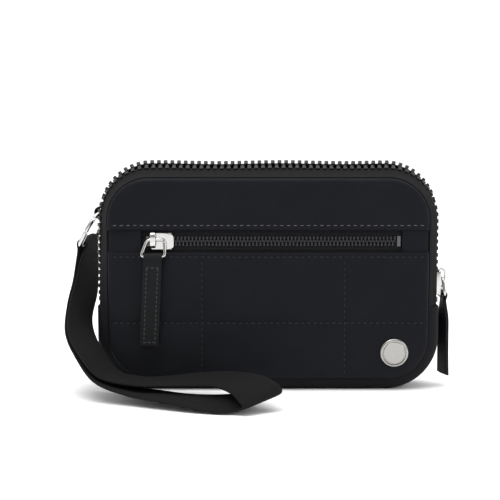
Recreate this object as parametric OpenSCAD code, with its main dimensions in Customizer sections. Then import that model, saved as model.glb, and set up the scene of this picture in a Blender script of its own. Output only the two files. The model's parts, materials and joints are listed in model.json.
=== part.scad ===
// Zip-around wristlet pouch: quilted nylon shell, zipped front pocket, wrist strap on a D-ring.
// Millimetres. X runs to the wearer's right, -Y is the front, Z is up, and the origin is the
// middle of the flat bottom. Soft pieces are plain solids of their true size and place.

/* [Shell] */
// Width of the front and back panels between their side seams
panel_w = 175; // [150:1:215]
// Height of the panels between their top and bottom seams
panel_h = 110; // [100:1:132]
// Corner radius of the panels
panel_r = 22.5; // [20:0.5:28]
// Depth of the pouch over both panels
pouch_depth = 31; // [30:0.5:37]
// Thickness of a padded panel
panel_t = 2.2; // [1.6:0.1:2.6]
// How far the gusset stands out from the panel seams
gusset_rise = 6.5; // [6:0.1:8]
// Width of the flat band that the pouch stands on
base_w = 19; // [14:0.5:20]
// Thickness of the gusset fabric
gusset_t = 1; // [0.7:0.1:1.2]
// Thickness of a lining
lining_t = 0.4; // [0.3:0.1:0.6]

/* [Mouth] */
// Height where the gusset ends and the main zip starts
zip_start_z = 46; // [42:0.5:50]
// Height of the line where the back panel folds open
fold_z = 100; // [98:0.5:103]
// How far the back flap leans open at rest, in degrees
mouth_open_deg = 14; // [10:0.5:22]
// Thickness of the zip tapes
tape_t = 0.8; // [0.6:0.1:0.9]
// Spacing of the main zip's teeth
tooth_pitch = 3.75; // [3.2:0.05:4.5]
// Width of one main tooth along the zip
tooth_w = 2.1; // [1.6:0.1:2.6]
// Thickness of the main zip's teeth
tooth_t = 2.8; // [2.4:0.1:3]
// Length of the main slider
slider_l = 14; // [12:0.5:16]

/* [Front pocket] */
// Height of the middle of the pocket zip
pocket_z = 82.3; // [78:0.1:84]
// Height of the gap between the two panel lips over the pocket zip
pocket_gap = 11.4; // [10.8:0.1:13]
// Left end of the visible pocket zip
pocket_x0 = -68.6; // [-70:0.1:-64]
// Right end of the visible pocket zip
pocket_x1 = 72.3; // [66:0.1:74]
// Spacing of the pocket zip's teeth
pocket_pitch = 2; // [1.8:0.1:2.6]
// Length of the pocket slider
pocket_slider_l = 12.9; // [11:0.1:14]

/* [Pulls] */
// Diameter of the pull ring's wire
pull_wire = 1.8; // [1.4:0.1:1.8]
// Outside width of a pull ring
pull_ring_w = 15; // [14.6:0.1:17]
// Height of a pull ring between its two bars
pull_ring_h = 9.2; // [8:0.1:11]
// Width of a leather pull tab
pull_tab_w = 10; // [8:0.1:10.2]
// Length of the pocket's pull tab
pocket_tab_l = 49; // [40:0.5:52]
// Length of the main zip's pull tab
main_tab_l = 46; // [38:0.5:47]
// Thickness of one layer of tab leather
leather_t = 1; // [0.8:0.1:1.1]
// Lean of the pocket's tab from upright, in degrees
pocket_tab_lean = 2.6; // [0:0.1:4]

/* [Badge] */
// Diameter of the round metal badge
badge_d = 15.6; // [12:0.1:17]
// Distance from the middle of the badge to the panel's right seam
badge_in = 18.7; // [17:0.1:24]
// Height of the middle of the badge above the panel's bottom seam
badge_up = 14.8; // [14:0.1:22]
// Thickness of the badge
badge_t = 1.8; // [1.2:0.1:2.4]

/* [Wrist strap] */
// Thickness of the strap webbing
strap_t = 1.6; // [1.2:0.1:1.6]
// Width of the strap webbing
strap_w = 24; // [20:0.5:25]
// Diameter of the D-ring's wire
dring_wire = 2.8; // [2.4:0.1:3]
// Half the width of the D-ring, to the middle of its wire
dring_r = 11; // [10.5:0.1:13]
// Height of the D-ring, from its bar to the top of its bow
dring_h = 20.5; // [19:0.1:22]
// Part of the bow that opens as a gate, in degrees
gate_deg = 42; // [30:1:48]

/* [Hidden] */

// Clearances and small fits
seam_gap = 0.15;
fold_gap = 0.6;
layer_gap = 0.1;
slot_fit = 0.05;
pin_fit = 0.08;
arc_steps = 20;
fine = 64;

// Shell places. A panel's outline is measured from its seams
half_w = panel_w / 2;
panel_z0 = gusset_rise;
panel_z1 = panel_z0 + panel_h;
corner_x = half_w - panel_r;
corner_top = panel_z1 - panel_r;
corner_low = panel_z0 + panel_r;
face = pouch_depth / 2;
panel_in = face - panel_t;
seam_out = panel_in + 0.8;
seam_in = panel_in - 0.4;
binding = [[-2.6, -1], [-6, -3.2]];

// Main zip, as distances out from the seam and forward of the middle plane
tape_out = 5.4;
tape_in = tape_out - tape_t;
tape_edge = 3;
tape_knee = 7.2;
tooth_mid = (tape_out + tape_in) / 2;
tooth_head = 1.3;
tooth_root = 4.6;
teeth_z0 = zip_start_z + 5.2;
run_r = panel_r + tooth_mid;
run_side = corner_top - teeth_z0;
run_corner = run_r * PI / 2;
run_top = 2 * corner_x;
run_all = 2 * run_side + 2 * run_corner + run_top;
tooth_count = floor(run_all / tooth_pitch);

// Main slider
slider_z0 = zip_start_z + 4.8;
slider_half = 6.3;
slider_plate = 1.2;
slider_wall = 0.7;
cavity = tooth_t + 0.8;
plate_out = tooth_mid + cavity / 2;
crown_w = 3;
crown_rise = pull_wire + 0.5;
crown_bar = 1.4;
crown_z0 = slider_z0 + 5;
crown_l = 10;
main_hinge = [half_w + plate_out + slider_plate + crown_rise / 2, 0, crown_z0 + crown_l / 2];
main_ring_lean = 6;

// Pocket zip, as distances forward of the middle plane
pocket_tape_d = [panel_in - 0.6, panel_in - layer_gap];
pocket_tape_mid = (pocket_tape_d[0] + pocket_tape_d[1]) / 2;
pocket_tooth = [0.4, 2.7];
pocket_tooth_t = 1.8;
pocket_tooth_w = 0.9;
pocket_slider_half = 4.6;
pocket_slider_plate = 1;
pocket_cavity = 2.1;
pocket_slider_x0 = pocket_x0 + 4.3;
pocket_plate_out = pocket_tape_mid + pocket_cavity / 2;
pocket_face = pocket_plate_out + pocket_slider_plate;
pocket_hinge = [pocket_slider_x0 + 1.7, pocket_face + crown_rise / 2, pocket_z + 1];
pocket_ring_lean = 11;
bag_d = [panel_in - 3.7, panel_in - 0.8];
bag_t = 0.3;
bag_x = half_w - 13.5;
bag_z = [panel_z0 + 8, pocket_z + 10.5];

// Badge
badge_at = [half_w - badge_in, panel_z0 + badge_up];
prong = [3.4, 0.7, 1.4];
washer_t = 0.6;

// D-ring frame: its bar runs along ring_u, its bow points along ring_v, and it swings about ring_u
ring_top = [-half_w - 6.5, face - 0.5, 96.5];
ring_u = unit([0.31, 0.94, 0.14]);
ring_v = unit([0.435, -0.265, 0.86] - ring_u * ([0.435, -0.265, 0.86] * ring_u));
ring_s = cross(ring_u, ring_v);
ring_foot = ring_top - ring_v * dring_h;
ring_corner = 3;
ring_bow = dring_h - dring_r;
gate_end = 180;
gate_hinge = gate_end - gate_deg;
gate_gap = 0.35;
tab_dir = unit([0.9, -0.32, 0.29]);

// Strap: the middle line between its two layers, from the D-ring to the far fold. Each row is a
// point measured from the left seam, the direction across the webbing, half the gap between the
// layers, and half the step that one layer lies behind the other
strap_rows = [
    [[-15.3, 19.4, 76.5], [5, 16, 2.4], 2.2, 0],
    [[-15.3, 16.5, 70.5], [6, 17, 2.6], 1.3, 0],
    [[-15.4, 10.5, 61], [8, 18, 3], 1.05, 0],
    [[-16, 0.5, 49], [11, 17.5, 3], 1.05, 0],
    [[-16.5, -11.5, 35], [9.5, 20, 2], 1.05, 0],
    [[-10.1, -24, 23.6], [8.5, 22, 0.8], 1.2, 0],
    [[1.2, -34, 11.8], [8, 22.4, -1], 1.5, 0.8],
    [[16.9, -38.5, 7.5], [2.9, 23.8, -0.4], 2.1, 3.5],
    [[32, -43, 7.1], [0.8, 24, 0.2], 2.5, 6.8],
    [[46.2, -47, 7.2], [0.1, 23.9, 1.6], 3, 9.3],
    [[60.4, -51.5, 7.8], [5.7, 22.8, 3.2], 3.4, 8.6],
    [[72.7, -60.5, 8.6], [13.9, 18.2, 5.6], 3.3, 4.4],
    [[80.7, -67, 8.1], [19.6, 12, 5.8], 2.7, 1]
];
strap_neck = 15.2;
strap_from = [-half_w, 0, 0];
strap_steps = 3;

// A vector made one long
function unit(v) = v / norm(v);

// A rounded rectangle, centred on x, from height z0 to z1
function plate_outline(w, z0, z1, r) = [
    for (c = [[1, 1, 0], [-1, 1, 90], [-1, -1, 180], [1, -1, 270]])
        for (i = [0:arc_steps])
            let (a = c[2] + 90 * i / arc_steps)
                [c[0] * (w / 2 - r) + r * cos(a), (c[1] > 0 ? z1 - r : z0 + r) + r * sin(a)]
];

// Stands a shape drawn face on, x across, y up and z forward, upright in the pouch's frame
module stand() {
    rotate([90, 0, 0]) children();
}

// A flat layer with the panels' outline, grown or shrunk by off, from forward distance d0 to d1
module layer(off, d0, d1) {
    translate([0, 0, d0])
        linear_extrude(d1 - d0)
            polygon(plate_outline(panel_w + 2 * off, panel_z0 - off, panel_z1 + off, panel_r + off));
}

// A face-on block between two heights, wide and deep enough to cut any layer
module slab(z0, z1, x0 = -200, x1 = 200) {
    translate([x0, z0, -50]) cube([x1 - x0, z1 - z0, 100]);
}

// Carries a profile, drawn as distance out from the seam and distance forward, up one side from
// height z0, over the top and down the other side
module over_the_top(z0) {
    translate([-half_w, z0, 0]) rotate([90, 0, 180]) linear_extrude(corner_top - z0) children();
    translate([-corner_x, corner_top, 0])
        rotate([0, 0, 90]) rotate_extrude(angle = 90, $fn = fine) translate([panel_r, 0]) children();
    translate([-corner_x, panel_z1, 0])
        rotate([90, 0, 90]) linear_extrude(2 * corner_x) children();
    translate([corner_x, corner_top, 0])
        rotate_extrude(angle = 90, $fn = fine) translate([panel_r, 0]) children();
    translate([half_w, corner_top, 0])
        rotate([90, 0, 0]) linear_extrude(corner_top - z0) children();
}

// The same below height z1, down one side, under the bottom and up the other side
module under_the_bottom(z1) {
    translate([-half_w, corner_low, 0])
        rotate([90, 0, 180]) linear_extrude(z1 - corner_low) children();
    translate([-corner_x, corner_low, 0])
        rotate([0, 0, 180]) rotate_extrude(angle = 90, $fn = fine) translate([panel_r, 0]) children();
    translate([corner_x, panel_z0, 0])
        rotate([90, 0, 270]) linear_extrude(2 * corner_x) children();
    translate([corner_x, corner_low, 0])
        rotate([0, 0, 270]) rotate_extrude(angle = 90, $fn = fine) translate([panel_r, 0]) children();
    translate([half_w, z1, 0]) rotate([90, 0, 0]) linear_extrude(z1 - corner_low) children();
}

// Puts a child at distance s along the zip from its left end, its x axis pointing out of the pouch
module along_zip(s) {
    s1 = s - run_side;
    s2 = s1 - run_corner;
    s3 = s2 - run_top;
    s4 = s3 - run_corner;
    if (s1 < 0)
        translate([-half_w, teeth_z0 + s, 0]) rotate([0, 0, 180]) children();
    else if (s2 < 0)
        translate([-corner_x, corner_top, 0])
            rotate([0, 0, 180 - 90 * s1 / run_corner]) translate([panel_r, 0, 0]) children();
    else if (s3 < 0)
        translate([-corner_x + s2, panel_z1, 0]) rotate([0, 0, 90]) children();
    else if (s4 < 0)
        translate([corner_x, corner_top, 0])
            rotate([0, 0, 90 - 90 * s3 / run_corner]) translate([panel_r, 0, 0]) children();
    else
        translate([half_w, corner_top - s4, 0]) children();
}

// Height of the zip at distance s, to tell the flap's teeth from the fixed ones
function zip_z(s) =
    let (t = min(s, run_all - s), a = 90 * (t - run_side) / run_corner)
        t < run_side ? teeth_z0 + t
        : t < run_side + run_corner ? corner_top + run_r * sin(a)
        : corner_top + run_r;

// Turns the flap's pieces, drawn shut, about the fold line to where they rest
module opened() {
    translate([0, face, fold_z])
        rotate([-mouth_open_deg, 0, 0]) translate([0, -face, -fold_z]) children();
}

// Keeps the part of a face-on shape that lies above or below the fold line
module above_fold() {
    intersection() { children(); slab(fold_z + fold_gap / 2, 300); }
}
module below_fold() {
    intersection() { children(); slab(-100, fold_z - fold_gap / 2); }
}

// Mirrors a face-on shape from the front of the pouch to the back
module to_back() {
    mirror([0, 0, 1]) children();
}

module front_panel_lower() {
    color("#1d1e22") stand() difference() {
        intersection() {
            layer(0, panel_in, face);
            slab(-100, pocket_z - pocket_gap / 2);
        }
        for (s = [-1, 1])
            translate([badge_at[0] + s * prong[0], badge_at[1], 0])
                cube([prong[1] + 0.2, prong[2] + 0.2, 100], center = true);
    }
}
module front_panel_yoke() {
    color("#1f2024") stand() intersection() {
        layer(0, panel_in, face);
        slab(pocket_z + pocket_gap / 2, 300);
    }
}

// Fabric that covers the pocket zip's tape beyond one end of the chain
module pocket_end_tab(x0, x1) {
    stand() intersection() {
        layer(0, panel_in, face - 0.6);
        slab(pocket_z - pocket_gap / 2 + layer_gap, pocket_z + pocket_gap / 2 - layer_gap, x0, x1);
    }
}
module pocket_end_tab_left() {
    color("#1d1e22") pocket_end_tab(-200, pocket_x0);
}
module pocket_end_tab_right() {
    color("#1d1e22") pocket_end_tab(pocket_x1, 200);
}
module front_lining() {
    color("#303136") stand() layer(-0.6, bag_d[0] - layer_gap - lining_t, bag_d[0] - layer_gap);
}

// Bias binding over the raw seam edges inside, as a ring between two outlines
module binding_ring() {
    difference() {
        layer(binding[0][1], seam_in + binding[1][1], seam_in - layer_gap - 0.4);
        translate([0, 0, -1]) layer(binding[0][0], seam_in + binding[1][1], seam_in + 2);
    }
}
module front_seam_binding() {
    color("#26272b") stand() binding_ring();
}

// Lining bag behind the pocket zip, open where the zip looks into it
module pocket_bag() {
    color("#303136") stand() difference() {
        translate([-bag_x, bag_z[0], bag_d[0]])
            cube([2 * bag_x, bag_z[1] - bag_z[0], bag_d[1] - bag_d[0]]);
        translate([-bag_x + bag_t, bag_z[0] + bag_t, bag_d[0] + bag_t])
            cube([2 * (bag_x - bag_t), bag_z[1] - bag_z[0] - 2 * bag_t, bag_d[1] - bag_d[0] - 2 * bag_t]);
        translate([pocket_x0, pocket_z - pocket_gap / 2, bag_d[0] + 1])
            cube([pocket_x1 - pocket_x0, pocket_gap, 10]);
    }
}

// One tape of the pocket zip; side is 1 for the upper tape and -1 for the lower
module pocket_tape(side) {
    z0 = 1.6;
    z1 = pocket_gap / 2 + 2.6;
    stand() translate([pocket_x0 - 4, pocket_z + (side > 0 ? z0 : -z1), pocket_tape_d[0]])
        cube([pocket_x1 - pocket_x0 + 8, z1 - z0, pocket_tape_d[1] - pocket_tape_d[0]]);
}
module pocket_zip_tape_upper() {
    color("#232226") pocket_tape(1);
}
module pocket_zip_tape_lower() {
    color("#232226") pocket_tape(-1);
}

// One tooth of the pocket zip, slotted over the edge of its tape
module pocket_tooth_solid(side) {
    slot = (pocket_tape_d[1] - pocket_tape_d[0]) / 2 + slot_fit;
    h = pocket_tooth_t / 2;
    rotate([90, 0, 90]) linear_extrude(pocket_tooth_w, center = true)
        polygon([
            for (p = [
                [pocket_tooth[0], -h], [pocket_tooth[1], -h], [pocket_tooth[1], -slot],
                [1.55, -slot], [1.55, slot], [pocket_tooth[1], slot],
                [pocket_tooth[1], h], [pocket_tooth[0], h]
            ]) [side * p[0], p[1]]
        ]);
}
module pocket_teeth(side) {
    first = pocket_slider_x0 + (side > 0 ? 1 : 1 + pocket_pitch / 2);
    stand() for (x = [first:pocket_pitch:pocket_x1 - 3.2])
        translate([x, pocket_z, pocket_tape_mid]) pocket_tooth_solid(side);
}
module pocket_zip_teeth_upper() {
    color("#3a3a3d") pocket_teeth(1);
}
module pocket_zip_teeth_lower() {
    color("#3a3a3d") pocket_teeth(-1);
}

// Two clips that stop the pocket slider at the left and one bar that stops it at the right
module pocket_zip_stops() {
    slot = (pocket_tape_d[1] - pocket_tape_d[0]) / 2 + slot_fit;
    color("#9b9a97") stand() {
        for (side = [-1, 1])
            translate([pocket_slider_x0 - 1.4, pocket_z, pocket_tape_mid])
                scale([1.6, 1, 1]) pocket_tooth_solid(side);
        translate([pocket_x1 - 1.4, pocket_z, pocket_tape_mid]) difference() {
            cube([1.8, 5.6, pocket_tooth_t], center = true);
            for (side = [-1, 1])
                translate([0, side * 3.6, 0]) cube([3, 4.2, 2 * slot], center = true);
        }
    }
}

// A slider body: two plates, four flanges that grip round the tapes, and the wedge between the
// plates. It is drawn along x from 0 to l, across y, and forward along z from the tape's middle
module slider_body(l, half, plate, wall, cav, slot, wedge) {
    for (s = [-1, 1]) {
        translate([0, 0, s * (cav / 2 + plate / 2)]) linear_extrude(plate, center = true)
            polygon([
                [0, -half + 1.6], [1.6, -half], [l - 0.8, -half], [l, -half + 0.8],
                [l, half - 0.8], [l - 0.8, half], [1.6, half], [0, half - 1.6]
            ]);
        for (t = [-1, 1])
            translate([1.6, t * (half - wall / 2) - wall / 2, s > 0 ? slot / 2 : -cav / 2 - 0.01])
                cube([l - 2.4, wall, (cav - slot) / 2 + 0.01]);
    }
    translate([0.8, -wedge, -cav / 2 - 0.01]) cube([3.4, 2 * wedge, cav + 0.02]);
}

// The bridge that the pull ring hangs from, as an arch of length l and width w standing on z = 0
module crown(l, w, rise, bar) {
    translate([0, w / 2, 0]) rotate([90, 0, 0]) linear_extrude(w)
        polygon([
            [0, 0], [0.4, rise + bar - 1], [1.5, rise + bar], [l - 1.5, rise + bar],
            [l - 0.4, rise + bar - 1], [l, 0], [l - bar, 0], [l - bar, rise], [bar, rise], [bar, 0]
        ]);
}

module pocket_zip_slider() {
    color("#b9b8b4") stand() {
        translate([pocket_slider_x0, pocket_z, pocket_tape_mid])
            slider_body(pocket_slider_l, pocket_slider_half, pocket_slider_plate, 0.6,
                pocket_cavity, 0.9, 0.25);
        translate([pocket_hinge[0], pocket_hinge[2] - 4, pocket_face - 0.01])
            rotate([0, 0, 90]) crown(8, crown_w, crown_rise, crown_bar);
    }
}

// A ring of round wire, centred on x, hanging from a bar on the x axis to a bar at y = -h
module wire_ring(w, h, wire) {
    a = (w - wire) / 2;
    r = min(2.6, a - pull_tab_w / 2 - 0.05);
    for (p = [[a - r, -r, 0], [-a + r, -r, 90], [-a + r, -h + r, 180], [a - r, -h + r, 270]])
        translate([p[0], p[1], 0]) rotate([0, 0, p[2]])
            rotate_extrude(angle = 90, $fn = 48) translate([r, 0]) circle(d = wire, $fn = 32);
    for (y = [0, -h])
        translate([-a + r, y, 0]) rotate([0, 90, 0]) cylinder(h = 2 * (a - r), d = wire, $fn = 32);
    for (x = [-a, a])
        translate([x, -h + r, 0]) rotate([-90, 0, 0]) cylinder(h = h - 2 * r, d = wire, $fn = 32);
}

// A strip of leather folded over a bar on the x axis, its two layers hanging to y = -l and
// leaning sideways
module folded_tab(w, l, lean) {
    r = pull_wire / 2 + pin_fit;
    difference() {
        union() {
            rotate([0, 90, 0]) cylinder(h = w, r = r + leather_t, center = true, $fn = 48);
            rotate([0, 0, -lean])
                translate([-w / 2, -l, -leather_t]) cube([w, l, 2 * leather_t]);
        }
        rotate([0, 90, 0]) cylinder(h = w + 4, r = r, center = true, $fn = 48);
    }
}

// Puts a pull's pieces, drawn face on, at the pocket slider's bridge
module at_pocket_pull() {
    translate([pocket_hinge[0], -pocket_hinge[1], pocket_hinge[2]])
        rotate([90 - pocket_ring_lean, 0, 0]) children();
}
module pocket_pull_ring() {
    color("#c2c1bd") at_pocket_pull() wire_ring(pull_ring_w, pull_ring_h, pull_wire);
}
pocket_tab_hinge = [
    pocket_hinge[0],
    -pocket_hinge[1] - pull_ring_h * sin(pocket_ring_lean),
    pocket_hinge[2] - pull_ring_h * cos(pocket_ring_lean)
];
module pocket_pull_tab() {
    color("#1f2022") translate(pocket_tab_hinge) rotate([90, 0, 0])
        folded_tab(pull_tab_w, pocket_tab_l, pocket_tab_lean);
}

// Plain domed disc with two prongs that pass through the panel
module badge() {
    r = badge_d / 2;
    color("#b8b6b1") stand() translate([badge_at[0], badge_at[1], face + 0.05]) {
        rotate_extrude($fn = 96)
            polygon([[0, 0], [r - 0.3, 0], [r, 0.3], [r, 0.7], [r - 1.7, badge_t - 0.4],
                [r - 2.4, badge_t - 0.4], [r - 2.8, badge_t - 0.6], [0, badge_t - 0.6]]);
        for (s = [-1, 1])
            translate([s * prong[0] - prong[1] / 2, -prong[2] / 2, -panel_t - washer_t - layer_gap])
                cube([prong[1], prong[2], panel_t + washer_t + layer_gap + 0.01]);
    }
}
module badge_washer() {
    color("#9b9a97") stand() translate([badge_at[0], badge_at[1], panel_in - washer_t - 0.05])
        difference() {
            cylinder(h = washer_t, r = 5, $fn = 64);
            for (s = [-1, 1])
                translate([s * prong[0], 0, 0])
                    cube([prong[1] + 0.1, prong[2] + 0.1, 4], center = true);
        }
}

// Fabric band below the ends of the zip, flat underneath so that the pouch stands on it
module gusset() {
    b = base_w / 2;
    g = gusset_rise;
    color("#232226") stand() under_the_bottom(zip_start_z)
        polygon([
            [seam_gap, seam_out], [g - 2, b + 2.6], [g, b], [g, -b], [g - 2, -b - 2.6],
            [seam_gap, -seam_out], [seam_gap, -seam_in], [g - 2.8, -b - 1.8],
            [g - gusset_t, -b + 0.4], [g - gusset_t, b - 0.4], [g - 2.8, b + 1.8], [seam_gap, seam_in]
        ]);
}
module gusset_lining() {
    b = base_w / 2 - 0.5;
    g = gusset_rise - gusset_t - layer_gap;
    color("#303136") stand() under_the_bottom(zip_start_z)
        polygon([
            [-0.3, seam_in - 0.2], [g - 2.1, b + 2], [g, b], [g, -b], [g - 2.1, -b - 2],
            [-0.3, -seam_in + 0.2], [-0.3, -seam_in + 0.7], [g - 2.4, -b - 1.5],
            [g - lining_t, -b + 0.2], [g - lining_t, b - 0.2], [g - 2.4, b + 1.5], [-0.3, seam_in - 0.7]
        ]);
}

// One tape of the main zip, from the seam out to the teeth
module tape_profile() {
    polygon([
        [seam_gap, seam_in], [tape_in, tape_knee], [tape_in, tape_edge],
        [tape_out, tape_edge], [tape_out, tape_knee + 0.3], [seam_gap, seam_out]
    ]);
}
module main_zip_tape_front() {
    color("#242326") stand() over_the_top(zip_start_z + 0.2) tape_profile();
}
module main_zip_tape_back_sides() {
    color("#242326") stand()
        below_fold() to_back() over_the_top(zip_start_z + 0.2) tape_profile();
}
module main_zip_tape_back_top() {
    color("#242326") opened() stand()
        above_fold() to_back() over_the_top(zip_start_z + 0.2) tape_profile();
}

// One moulded tooth, slotted over the edge of its tape
module tooth(w) {
    h = tooth_t / 2;
    slot = tape_t / 2 + slot_fit;
    e = tape_edge - slot_fit;
    rotate([90, 0, 0]) linear_extrude(w, center = true)
        polygon([
            [tooth_mid - h, tooth_head], [tooth_mid + h, tooth_head], [tooth_mid + h, tooth_root],
            [tooth_mid + slot, tooth_root], [tooth_mid + slot, e], [tooth_mid - slot, e],
            [tooth_mid - slot, tooth_root], [tooth_mid - h, tooth_root]
        ]);
}

// The row of teeth between heights z0 and z1; shift moves it half a pitch so that two rows alternate
module tooth_row(z0, z1, shift) {
    for (i = [0:tooth_count - 1]) {
        s = (i + 0.5 + shift) * tooth_pitch;
        if (s < run_all - 0.4 && zip_z(s) >= z0 && zip_z(s) < z1)
            along_zip(s) tooth(tooth_w);
    }
}
module main_zip_teeth_front() {
    color("#17171a") stand() tooth_row(0, 300, 0);
}
module main_zip_teeth_back_sides() {
    color("#17171a") stand() to_back() tooth_row(0, fold_z, 0.5);
}
module main_zip_teeth_back_top() {
    color("#17171a") opened() stand() to_back() tooth_row(fold_z, 300, 0.5);
}

// Metal clips above the left end of each tape, and the retainer at the right end
module main_zip_top_stops() {
    color("#9b9a97") stand() for (s = [0, 1])
        mirror([0, 0, s]) translate([-half_w, teeth_z0 - 1.6, 0]) rotate([0, 0, 180]) tooth(2);
}
module main_zip_bottom_stop() {
    h = tooth_t / 2 + 0.2;
    slot = tape_t / 2 + slot_fit;
    e = tape_edge - slot_fit;
    color("#9b9a97") stand() translate([half_w, teeth_z0 - 2.3, 0])
        rotate([90, 0, 0]) linear_extrude(2.6, center = true)
            polygon([
                [tooth_mid - h, -4.2], [tooth_mid - slot, -4.2], [tooth_mid - slot, -e],
                [tooth_mid + slot, -e], [tooth_mid + slot, -4.2], [tooth_mid + h, -4.2],
                [tooth_mid + h, 4.2], [tooth_mid + slot, 4.2], [tooth_mid + slot, e],
                [tooth_mid - slot, e], [tooth_mid - slot, 4.2], [tooth_mid - h, 4.2]
            ]);
}

// Slider of the main zip, its nose up and its bridge facing out
module main_zip_slider() {
    color("#b9b8b4") {
        translate([half_w + tooth_mid, 0, slider_z0 + slider_l]) rotate([0, 90, 0])
            slider_body(slider_l, slider_half, slider_plate, slider_wall, cavity, tape_t + 0.4, 0.9);
        translate([half_w + plate_out + slider_plate - 0.01, 0, crown_z0 + crown_l])
            rotate([0, 90, 0]) crown(crown_l, crown_w, crown_rise, crown_bar);
    }
}

// Puts a pull's pieces, drawn face on, at the main slider's bridge
module at_main_pull(lean) {
    rotate([0, 0, 90]) rotate([90 - lean, 0, 0]) children();
}
module main_pull_ring() {
    color("#c2c1bd") translate(main_hinge)
        at_main_pull(main_ring_lean) wire_ring(pull_ring_w, pull_ring_h, pull_wire);
}
main_tab_hinge = main_hinge
    + [pull_ring_h * sin(main_ring_lean), 0, -pull_ring_h * cos(main_ring_lean)];
module main_pull_tab() {
    color("#1f2022") translate(main_tab_hinge)
        at_main_pull(0) folded_tab(pull_tab_w, main_tab_l, 0);
}

module back_panel_lower() {
    color("#1d1e22") stand() below_fold() to_back() layer(0, panel_in, face);
}
module back_lining_lower() {
    color("#303136") stand()
        below_fold() to_back() layer(-0.6, panel_in - layer_gap - lining_t, panel_in - layer_gap);
}
module back_seam_binding_lower() {
    color("#26272b") stand() below_fold() to_back() binding_ring();
}
module back_panel_flap() {
    color("#1d1e22") opened() stand() above_fold() to_back() layer(0, panel_in, face);
}
module back_lining_flap() {
    color("#303136") opened() stand()
        above_fold() to_back() layer(-0.6, panel_in - layer_gap - lining_t, panel_in - layer_gap);
}
module back_seam_binding_flap() {
    color("#26272b") opened() stand() above_fold() to_back() binding_ring();
}

// Draws children in the D-ring's own frame: x along its bar, y up its bow, z along its swing
module in_ring_frame(at) {
    multmatrix([
        [ring_u[0], ring_v[0], ring_s[0], at[0]],
        [ring_u[1], ring_v[1], ring_s[1], at[1]],
        [ring_u[2], ring_v[2], ring_s[2], at[2]],
        [0, 0, 0, 1]
    ]) children();
}

// Loop of webbing from the back's side seam round the top of the D-ring's bow
module strap_tab() {
    w = 7;
    r = dring_wire / 2 + 1;
    // the tab's own axes: along ring_u, along tab_dir made square to it, and across both
    along = unit(tab_dir - ring_u * (tab_dir * ring_u));
    across = cross(ring_u, along);
    color("#1b1b1d") difference() {
        multmatrix([
            [ring_u[0], along[0], across[0], ring_top[0]],
            [ring_u[1], along[1], across[1], ring_top[1]],
            [ring_u[2], along[2], across[2], ring_top[2]],
            [0, 0, 0, 1]
        ]) difference() {
            union() {
                rotate([0, 90, 0]) cylinder(h = w, r = r + 1.1, center = true, $fn = 48);
                translate([-w / 2, 0, -1.1]) cube([w, 9.2, 2.2]);
            }
            rotate([0, 90, 0]) cylinder(h = w + 2, r = r, center = true, $fn = 48);
        }
        stand() translate([0, 0, -face - 0.3]) linear_extrude(2 * face)
            polygon(plate_outline(panel_w + 0.6, panel_z0 - 0.3, panel_z1 + 0.3, panel_r + 0.3));
        stand() to_back() over_the_top(zip_start_z + 0.2)
            polygon([[-8, 0], [-8, seam_out], [seam_gap, seam_out], [tape_out, tape_knee + 0.3], [tape_out, 0]]);
        translate([-200, -50, fold_z - fold_gap / 2]) cube([400, 100, 100]);
    }
}

module strap_d_ring() {
    c = ring_corner;
    color("#c2c1bd") in_ring_frame(ring_foot) {
        translate([-dring_r + c, 0, 0])
            rotate([0, 90, 0]) cylinder(h = 2 * (dring_r - c), d = dring_wire, $fn = 40);
        for (s = [0, 1]) mirror([s, 0, 0]) translate([dring_r - c, c, 0]) rotate([0, 0, 270])
            rotate_extrude(angle = 90, $fn = 48) translate([c, 0]) circle(d = dring_wire, $fn = 40);
        translate([dring_r, c, 0])
            rotate([-90, 0, 0]) cylinder(h = ring_bow - c, d = dring_wire, $fn = 40);
        difference() {
            translate([-dring_r, c, 0])
                rotate([-90, 0, 0]) cylinder(h = ring_bow - c, d = dring_wire, $fn = 40);
            translate(gate_pivot) cylinder(h = 9, r = gate_reach + gate_gap, center = true, $fn = 96);
        }
        translate([0, ring_bow, 0])
            rotate_extrude(angle = gate_hinge - gate_clear, $fn = 96)
                translate([dring_r, 0]) circle(d = dring_wire, $fn = 40);
    }
}
// Angle that the gate's round knuckle and its gap take up on the bow
gate_clear = (dring_wire / 2 + gate_gap) / dring_r * 180 / PI;
gate_pivot = [dring_r * cos(gate_hinge), ring_bow + dring_r * sin(gate_hinge), 0];
// Reach of the gate from its knuckle; its free end is cut round so that it clears the side bar
gate_reach = 2 * dring_r * sin(gate_deg / 2);
module d_ring_gate() {
    color("#cfcecb") in_ring_frame(ring_foot) {
        intersection() {
            translate([0, ring_bow, 0]) rotate([0, 0, gate_hinge])
                rotate_extrude(angle = gate_deg, $fn = 96)
                    translate([dring_r, 0]) circle(d = dring_wire - 0.2, $fn = 40);
            translate(gate_pivot) cylinder(h = 9, r = gate_reach, center = true, $fn = 96);
        }
        translate(gate_pivot) cylinder(h = dring_wire, r = dring_wire / 2 - 0.1, center = true, $fn = 40);
    }
}

// Strap: two layers from the middle rows, then a closed band swept along them
function strap_run(i) =
    unit(strap_rows[min(i + 1, len(strap_rows) - 1)][0] - strap_rows[max(i - 1, 0)][0]);
function strap_normal(i) = unit(cross(strap_run(i), strap_rows[i][1]));
function strap_across(i) =
    let (w = i == 0 ? strap_neck : i == 1 ? (strap_neck + strap_w) / 2 : strap_w)
        unit(strap_rows[i][1]) * w;
function strap_side(i, s) = [
    strap_from + strap_rows[i][0] + s * strap_rows[i][2] * strap_normal(i)
        + s * strap_rows[i][3] * unit(strap_rows[i][1]),
    strap_across(i)
];
strap_last = len(strap_rows) - 1;
strap_far = [
    strap_from + strap_rows[strap_last][0] + 4 * strap_run(strap_last) + [0, 0, -0.3],
    strap_across(strap_last)
];
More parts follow.
